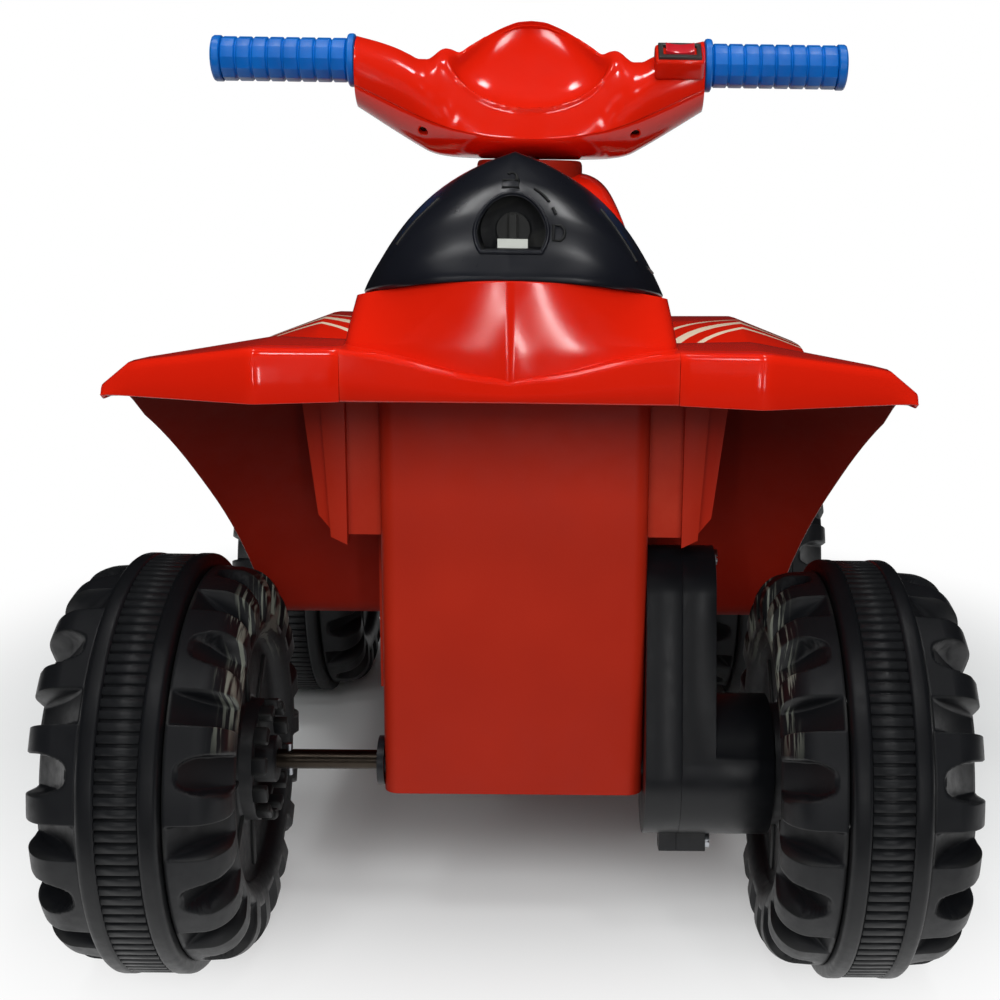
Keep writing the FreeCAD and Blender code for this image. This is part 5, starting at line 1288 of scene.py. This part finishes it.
barSettings = {
    # distance from the middle, then rear edge, parting height, crest, crest height, front edge
    "upper": [
        (0.0, 222.0, 425.6, 284.0, 503.0, 300.0), (8.0, 222.2, 425.8, 283.5, 502.2, 299.8),
        (17.0, 223.0, 426.2, 282.0, 499.0, 299.0), (25.0, 224.0, 427.0, 280.0, 495.0, 298.0),
        (32.0, 225.0, 428.1, 277.0, 490.6, 297.0), (40.0, 227.0, 429.8, 272.0, 485.2, 294.5),
        (46.5, 229.0, 431.2, 266.0, 480.8, 292.0), (51.0, 229.9, 432.4, 264.2, 482.4, 291.0),
        (54.5, 231.1, 433.5, 262.8, 482.8, 289.5), (58.0, 232.2, 434.8, 261.3, 481.4, 288.0),
        (61.5, 233.2, 436.0, 260.0, 478.4, 286.5), (66.0, 234.8, 437.8, 258.5, 475.6, 284.5),
        (71.0, 236.3, 440.0, 257.3, 475.6, 282.5), (77.0, 237.8, 442.7, 257.0, 478.2, 280.5),
        (85.0, 239.2, 446.4, 257.0, 481.8, 278.0), (96.0, 240.3, 451.6, 257.0, 485.4, 275.5),
        (110.5, 241.0, 458.0, 257.0, 489.0, 273.0)],
    "lower": [(0.0, 414.2), (28.0, 414.3), (46.0, 414.8), (57.0, 416.0), (64.5, 418.0),
              (71.0, 421.4), (80.0, 426.6), (92.0, 433.9), (110.5, 445.4)],
    "end": 110.5, "thick": 2.6, "edges": (0.6, 2, 48.0), "seam": 0.5, "parting": 0.3,
    "belly": 1.25, "upperInside": (0, 262, 430), "lowerInside": (0, 262, 440),
    "bulge": 5.0, "wingBulge": 3.0, "wing": (45.0, 75.0),
    # the dash bowl: half width, its middle along the face, reach down, least reach up, depth
    "bowlX": 51.0, "bowlLow": 50.0, "bowlDown": 28.0, "bowlUp": 9.0, "bowlOver": 8.0,
    "bowlDeep": 12.5, "bowlRound": 0.8, "bowlRim": (0.9, 1.0),
    # height, place and width of the bead round the bowl, and where it fades below the crest
    "bead": 1.5, "beadAt": 1.045, "beadWide": 0.045, "beadFade": (0.75, 0.95),
    "ahead": 257.0, "axis": 474.0,
}

# the switch slides down along its own rocking axis, so that it still rocks about it
switchSettings = {
    "place": (94.0, 244.0, 481.5), "tilt": 38.0, "slide": -6.0,
    "pad": ((-15.5, 206.0, -11.0), (15.5, 226.0, 3.0)),
}
screwSettings = {
    "across": 67.0, "back": 239.0, "height": 430.0, "lean": 38.0,
    "hole": [(-8.0, 0.0), (-8.0, 3.0), (5.0, 3.0), (5.0, 0.0)],
    "cup": [(5.0, 0.0), (5.0, 3.0), (1.2, 3.0), (1.2, 3.8), (6.0, 3.8), (6.0, 0.0)],
    "head": [(5.2, 0.0), (5.2, 2.6), (4.2, 2.6), (3.4, 2.2), (3.0, 1.2), (2.9, 0.0)],
    "slots": [((2.6, 215.7, -1.9), (3.7, 216.3, 1.9)), ((2.6, 214.1, -0.3), (3.7, 217.9, 0.3))],
}


def upperSection(s, x):
    a = abs(x)
    rear, part, crest, crestZ, front = alongTable(s["upper"], a)
    run, rise = crest - rear, crestZ - part
    length = math.hypot(run, rise)
    bulge = s["bulge"] + s["wingBulge"] * ease(*s["wing"], a)
    bowlUp = max(s["bowlUp"], length - s["bowlLow"] + s["bowlOver"])
    line = []
    for share in spread(0, 1, 58):
        along = share * length - s["bowlLow"]
        rho = math.hypot(a / s["bowlX"], along / (s["bowlDown"] if along < 0 else bowlUp))
        inside = 1 - ease(*s["bowlRim"], rho)
        out = bulge * 4 * share * (1 - share) * (1 - inside)
        out -= s["bowlDeep"] * max(0.0, 1 - rho * rho) ** s["bowlRound"]
        bead = s["bead"] * math.exp(-((rho - s["beadAt"]) / s["beadWide"]) ** 2)
        out += bead * (1 - ease(*s["beadFade"], share))
        line.append((rear + run * share - out * rise / length,
                     part + rise * share + out * run / length))
    for c, d in quarterArc(spread(0, 1, 22)[1:]):
        line.append((crest + (front - crest) * d, part + rise * c))
    return line


def lowerSection(s, x):
    rear, part, crest, crestZ, front = alongTable(s["upper"], abs(x))
    low = alongTable(s["lower"], abs(x))[0]
    middle, half = (rear + front) / 2, (front - rear) / 2 - s["seam"]
    top = part - s["parting"]
    line = []
    for turn in spread(math.pi, 2 * math.pi, 49):
        c, d = math.cos(turn), abs(math.sin(turn))
        line.append((middle + half * math.copysign(abs(c) ** s["belly"], c),
                     top - (top - low) * d ** s["belly"]))
    return line


def barShell(name, s, section, inside):
    places = spread(-s["end"], s["end"], 131)
    rows = [[spot(x, ahead, z) for ahead, z in section(s, x)] for x in places]
    shell = meshPiece(name, [point for row in rows for point in row],
                      gridFaces(len(rows), len(rows[0])), glossRed)
    thickWall(turnOut(shell, spot(*s[inside])), s["thick"])
    return softEdges(shell, *s["edges"])


tilted = turned(switchSettings["tilt"], "X")
slide = Matrix.Translation(tilted @ Vector((0.0, switchSettings["slide"] / metre, 0.0)))
pad = roundedBox("switch pad", *switchSettings["pad"], glossRed, 2.4, 4)
pad.data.transform(slide @ Matrix.Translation(spot(*switchSettings["place"])) @ tilted)
upperCover = joinPieces("handlebar_upper_cover_look", [
    barShell("upper cover", barSettings, upperSection, "upperInside"), pad])
crispEdges(upperCover, 55.0)
dress(upperCover, "handlebar", "gloss_red", "handlebar_upper_cover")

lowerCover = barShell("lower cover", barSettings, lowerSection, "lowerInside")
holes, cups, heads = [], [], []
s = screwSettings
for hand in (-1, 1):
    facing = (Matrix.Translation(spot(hand * s["across"], s["back"], s["height"]))
              @ turned(s["lean"], "X") @ turned(90, "Z"))
    hole = latheX("recess", s["hole"], glossRed, 28)
    cup = latheX("cup", s["cup"], glossRed, 28)
    head = latheX("head", s["head"], axleSteel, 24)
    carve(head, [roundedBox("slot", *slot, axleSteel, 0.05, 1) for slot in s["slots"]])
    for piece, group in ((hole, holes), (cup, cups), (head, heads)):
        piece.data.transform(facing)
        group.append(piece)
carve(lowerCover, holes)
lowerCover = crispEdges(joinPieces("handlebar_lower_cover_look", [lowerCover] + cups), 55.0)
dress(lowerCover, "handlebar", "gloss_red", "handlebar_lower_cover")
coverScrews = crispEdges(joinPieces("cover_screws_look", heads), 35.0)
dress(coverScrews, "handlebar", "steel", "cover_screws")

gripSettings = {
    "start": 111.0, "rings": 8, "pitch": 9.95, "sides": 12, "big": 13.7, "groove": 12.4,
    "weld": 0.00002, "edges": (0.5, 2, 24.0), "inside": 40.0, "flangeWide": 5.0,
    "flange": [(0.0, 9.0), (0.0, 15.2), (0.6, 16.2), (1.6, 16.5), (3.6, 16.4), (4.4, 15.9),
               (4.9, 14.6), (5.0, 12.0)],
    # the end cap, counted from the last ring
    "cap": [(0.0, 12.4), (0.3, 13.6), (0.9, 14.2), (4.6, 14.2), (5.6, 13.6), (6.1, 12.2),
            (6.2, 0.0)],
}


def gripPiece(name, s):
    big, low, pitch = s["big"], s["groove"], s["pitch"]
    ring = latheX(name, [(0.0, low), (0.5, low), (0.9, big - 0.5), (1.4, big), (pitch - 0.9, big),
                         (pitch - 0.4, big - 0.5), (pitch, low)], gripBlue, s["sides"])
    repeated(ring, rowTree, s["rings"], (pitch / metre, 0, 0), gripBlue, s["weld"])
    tidyMesh(ring.data)
    softEdges(turnOut(ring, Vector((s["inside"] / metre, 0, 0))), *s["edges"])
    ring.data.transform(Matrix.Translation((s["flangeWide"] / metre, 0, 0)))
    flange = latheX("flange", s["flange"], gripBlue, 48)
    stop = s["flangeWide"] + s["rings"] * pitch
    cap = latheX("grip end", [(stop + x, radius) for x, radius in s["cap"]], gripBlue, 48)
    return joinPieces(name, [ring, flange, cap])


rightGrip = gripPiece("right_grip_look", gripSettings)
rightGrip.data.transform(Matrix.Translation(
    spot(gripSettings["start"], barSettings["ahead"], barSettings["axis"])))
leftGrip = mirrored("left_grip_look", rightGrip)
for grip, node in ((rightGrip, "right_grip"), (leftGrip, "left_grip")):
    dress(crispEdges(grip, 28.0), "handlebar", "grip_blue", node)
print("handlebar ready")


# chassis, gearbox and switch, and the pieces kept as they were built

def roundedCopy(node, widthMm, material, body, slot, place=Matrix.Identity(4)):
    # the built piece with its loose triangles joined and its edges softened
    piece = copyPiece(node + "_look", nodes[node], place)
    piece.data.materials.clear()
    piece.data.materials.append(material)
    work = bmesh.new()
    work.from_mesh(piece.data)
    bmesh.ops.remove_doubles(work, verts=work.verts, dist=1e-5)
    bmesh.ops.dissolve_limit(
        work, angle_limit=math.radians(1.0), verts=work.verts, edges=work.edges)
    bmesh.ops.recalc_face_normals(work, faces=work.faces)
    for face in work.faces:
        face.smooth = True
        face.material_index = 0
    work.to_mesh(piece.data)
    work.free()
    softEdges(piece, widthMm, 2, 40.0)
    return dress(crispEdges(piece, 50.0), body, slot, node)


roundedCopy("lower_chassis", 1.2, matteRed, "chassis", "matte_red")
roundedCopy("gearbox_inner_half", 1.6, gearboxBlack, "chassis", "gearbox_black")
roundedCopy("gearbox_outer_half", 1.6, gearboxBlack, "chassis", "gearbox_black")
roundedCopy("switch_housing", 0.3, bezelBlack, "handlebar", "gearbox_black", slide)
roundedCopy("switch_rocker", 0.3, rockerRed, "rocker", "rocker_red", slide)
keptNodes = {
    "steel": [
        "axle_cross_pin", "axle_push_nuts", "fender_screws", "gear_pins", "gearbox_screws",
        "handlebar_tube", "left_kingpin_clip", "left_knuckle", "left_stub_push_nut", "motor",
        "rear_axle", "right_kingpin_clip", "right_knuckle", "right_stub_push_nut",
        "seat_hinge_pin", "steering_column", "tie_plate"],
    "gear_nylon": ["first_gear", "motor_pinion", "output_gear", "second_gear"],
    "gearbox_black": ["axle_bushes"], "battery_grey": ["battery"], "lens_clear": ["headlights"],
    "seat_black": ["lock_knob"], "latch_white": ["lock_latch"],
}
# the axle's own blackened finish, and the lock knob darkened as painted shade inside its pocket
ownFinishAndShade = {"rear_axle": axleSteel, "axle_push_nuts": axleSteel, "lock_knob": wheelBlack}
for slot, names in keptNodes.items():
    for name in names:
        mesh = nodes[name].data
        mesh.materials.clear()
        mesh.materials.append(ownFinishAndShade.get(name, finishes[slot]))
print("kept nodes painted")


# stage

stageSettings = {
    # the paper turns from a lit floor to plain white between near and far of its centre
    "half": 4.0, "sink": -0.0002, "centre": (0.0, 0.2, 0.0), "near": 0.26, "far": 0.58,
    "tone": "#F2F5F5", "bounce": "#7C8484", "sky": 0.3,
    "roomHalf": 1.9, "roomBack": -2.6, "roomFront": 2.2, "roomTop": 2.5, "roomTone": "#1E1E20",
    "clothFront": -0.5, "clothRise": 0.002, "clothRough": 0.9,
    # place, aim, size and watts: the boxes are too broad to show in a gloss, the lamps do show
    "boxes": {
        "fill box": ((0.0, -2.0, 1.2), (0.0, 0.0, 0.2), (1.8, 1.0), 31.0),
        "top box": ((0.0, -0.1, 2.2), (0.0, 0.0, 0.2), (1.8, 1.6), 15.0),
    },
    "lamps": {
        "back left lamp": ((-0.5, -1.45, 2.1), (0.0, -0.1, 0.3), (0.28, 0.28), 4.0),
        "back right lamp": ((0.5, -1.45, 2.1), (0.0, -0.1, 0.3), (0.28, 0.28), 4.0),
        "mid left lamp": ((-0.45, -0.1, 2.3), (0.0, 0.0, 0.3), (0.3, 0.2), 4.0),
        "mid right lamp": ((0.45, -0.1, 2.3), (0.0, 0.0, 0.3), (0.3, 0.2), 4.0),
        "window left": ((-0.5, -2.5, 0.5), (0.0, -0.2, 0.35), (0.045, 0.6), 2.0),
        "window right": ((0.5, -2.5, 0.5), (0.0, -0.2, 0.35), (0.08, 0.6), 3.5),
    },
}


def backgroundRays(tree):
    # 1 where the camera, a reflection or a clear piece looks straight at the surface
    seen = addNode(tree, "ShaderNodeLightPath", {}).outputs
    mirrors = addNode(tree, "ShaderNodeMath", {
        0: seen["Is Camera Ray"], 1: seen["Is Glossy Ray"]}, operation="MAXIMUM")
    return addNode(tree, "ShaderNodeMath", {
        0: mirrors.outputs["Value"], 1: seen["Is Transmission Ray"]},
        operation="MAXIMUM").outputs["Value"]


def stageFloor(s):
    paper = bpy.data.materials.new("seamless white paper")
    tree = emptyTree(paper)
    place = addNode(tree, "ShaderNodeTexCoord", {}).outputs["Object"]
    ahead = addNode(tree, "ShaderNodeVectorMath", {
        0: place, 1: s["centre"]}, operation="SUBTRACT")
    reach = addNode(tree, "ShaderNodeVectorMath", {
        0: ahead.outputs["Vector"]}, operation="LENGTH")
    away = addNode(tree, "ShaderNodeMapRange", {
        "Value": reach.outputs["Value"], "From Min": s["near"], "From Max": s["far"]},
        interpolation_type="SMOOTHSTEP")
    looked = backgroundRays(tree)
    bright = addNode(tree, "ShaderNodeMath", {
        0: away.outputs["Result"], 1: looked}, operation="MULTIPLY")
    tone = addNode(tree, "ShaderNodeMix", {
        0: looked, 6: linear(s["bounce"]), 7: linear(s["tone"])}, data_type="RGBA")
    matt = addNode(tree, "ShaderNodeBsdfDiffuse", {"Color": tone.outputs[2]})
    white = addNode(tree, "ShaderNodeEmission", {"Color": (1, 1, 1, 1), "Strength": 1.0})
    both = addNode(tree, "ShaderNodeMixShader", {
        0: bright.outputs["Value"], 1: matt.outputs["BSDF"], 2: white.outputs["Emission"]})
    addNode(tree, "ShaderNodeOutputMaterial", {"Surface": both.outputs["Shader"]})
    places = spread(-s["half"], s["half"], 9)
    points = [(x, y, s["sink"]) for y in places for x in places]
    return meshPiece("floor", points, gridFaces(9, 9), paper)


def darkRoom(s):
    # black cloths all round keep the lamps' reflections sharp, out of every picture themselves
    cloth = bpy.data.materials.new("black cotton cloth")
    cloth.use_nodes = True
    shader = cloth.node_tree.nodes["Principled BSDF"]
    shader.inputs["Base Color"].default_value = linear(s["roomTone"])
    shader.inputs["Roughness"].default_value = s["clothRough"]
    sides = (-s["roomHalf"], s["roomHalf"])
    points = [(x, y, z) for z in (0.0, s["roomTop"])
              for y in (s["roomBack"], s["roomFront"]) for x in sides]
    points += [(x, y, s["clothRise"]) for y in (s["roomBack"], s["clothFront"]) for x in sides]
    faces = [(8, 9, 11, 10), (0, 1, 5, 4), (0, 2, 6, 4), (1, 3, 7, 5), (2, 3, 7, 6), (4, 5, 7, 6)]
    room = meshPiece("black cloths", points, faces, cloth)
    room.visible_camera = False
    return room


def softbox(name, place, aim, size, watts, shows):
    light = bpy.data.lights.new(name, "AREA")
    light.shape = "RECTANGLE"
    light.size, light.size_y = size
    light.energy = watts
    lamp = newObject(name, light)
    lamp.location = place
    lamp.visible_glossy = shows
    lamp.rotation_euler = (Vector(aim) - Vector(place)).to_track_quat("-Z", "Y").to_euler()
    return lamp


def sky(s):
    world = bpy.data.worlds.new("studio")
    tree = emptyTree(world)
    level = addNode(tree, "ShaderNodeMapRange", {
        "Value": backgroundRays(tree), "To Min": s["sky"], "To Max": 1.0})
    light = addNode(tree, "ShaderNodeBackground", {
        "Color": (1, 1, 1, 1), "Strength": level.outputs["Result"]})
    addNode(tree, "ShaderNodeOutputWorld", {"Surface": light.outputs["Background"]})
    bpy.context.scene.world = world


floor = stageFloor(stageSettings)
room = darkRoom(stageSettings)
lamps = [softbox(name, *box, False) for name, box in stageSettings["boxes"].items()]
lamps += [softbox(name, *lamp, True) for name, lamp in stageSettings["lamps"].items()]
sky(stageSettings)
print("stage ready")
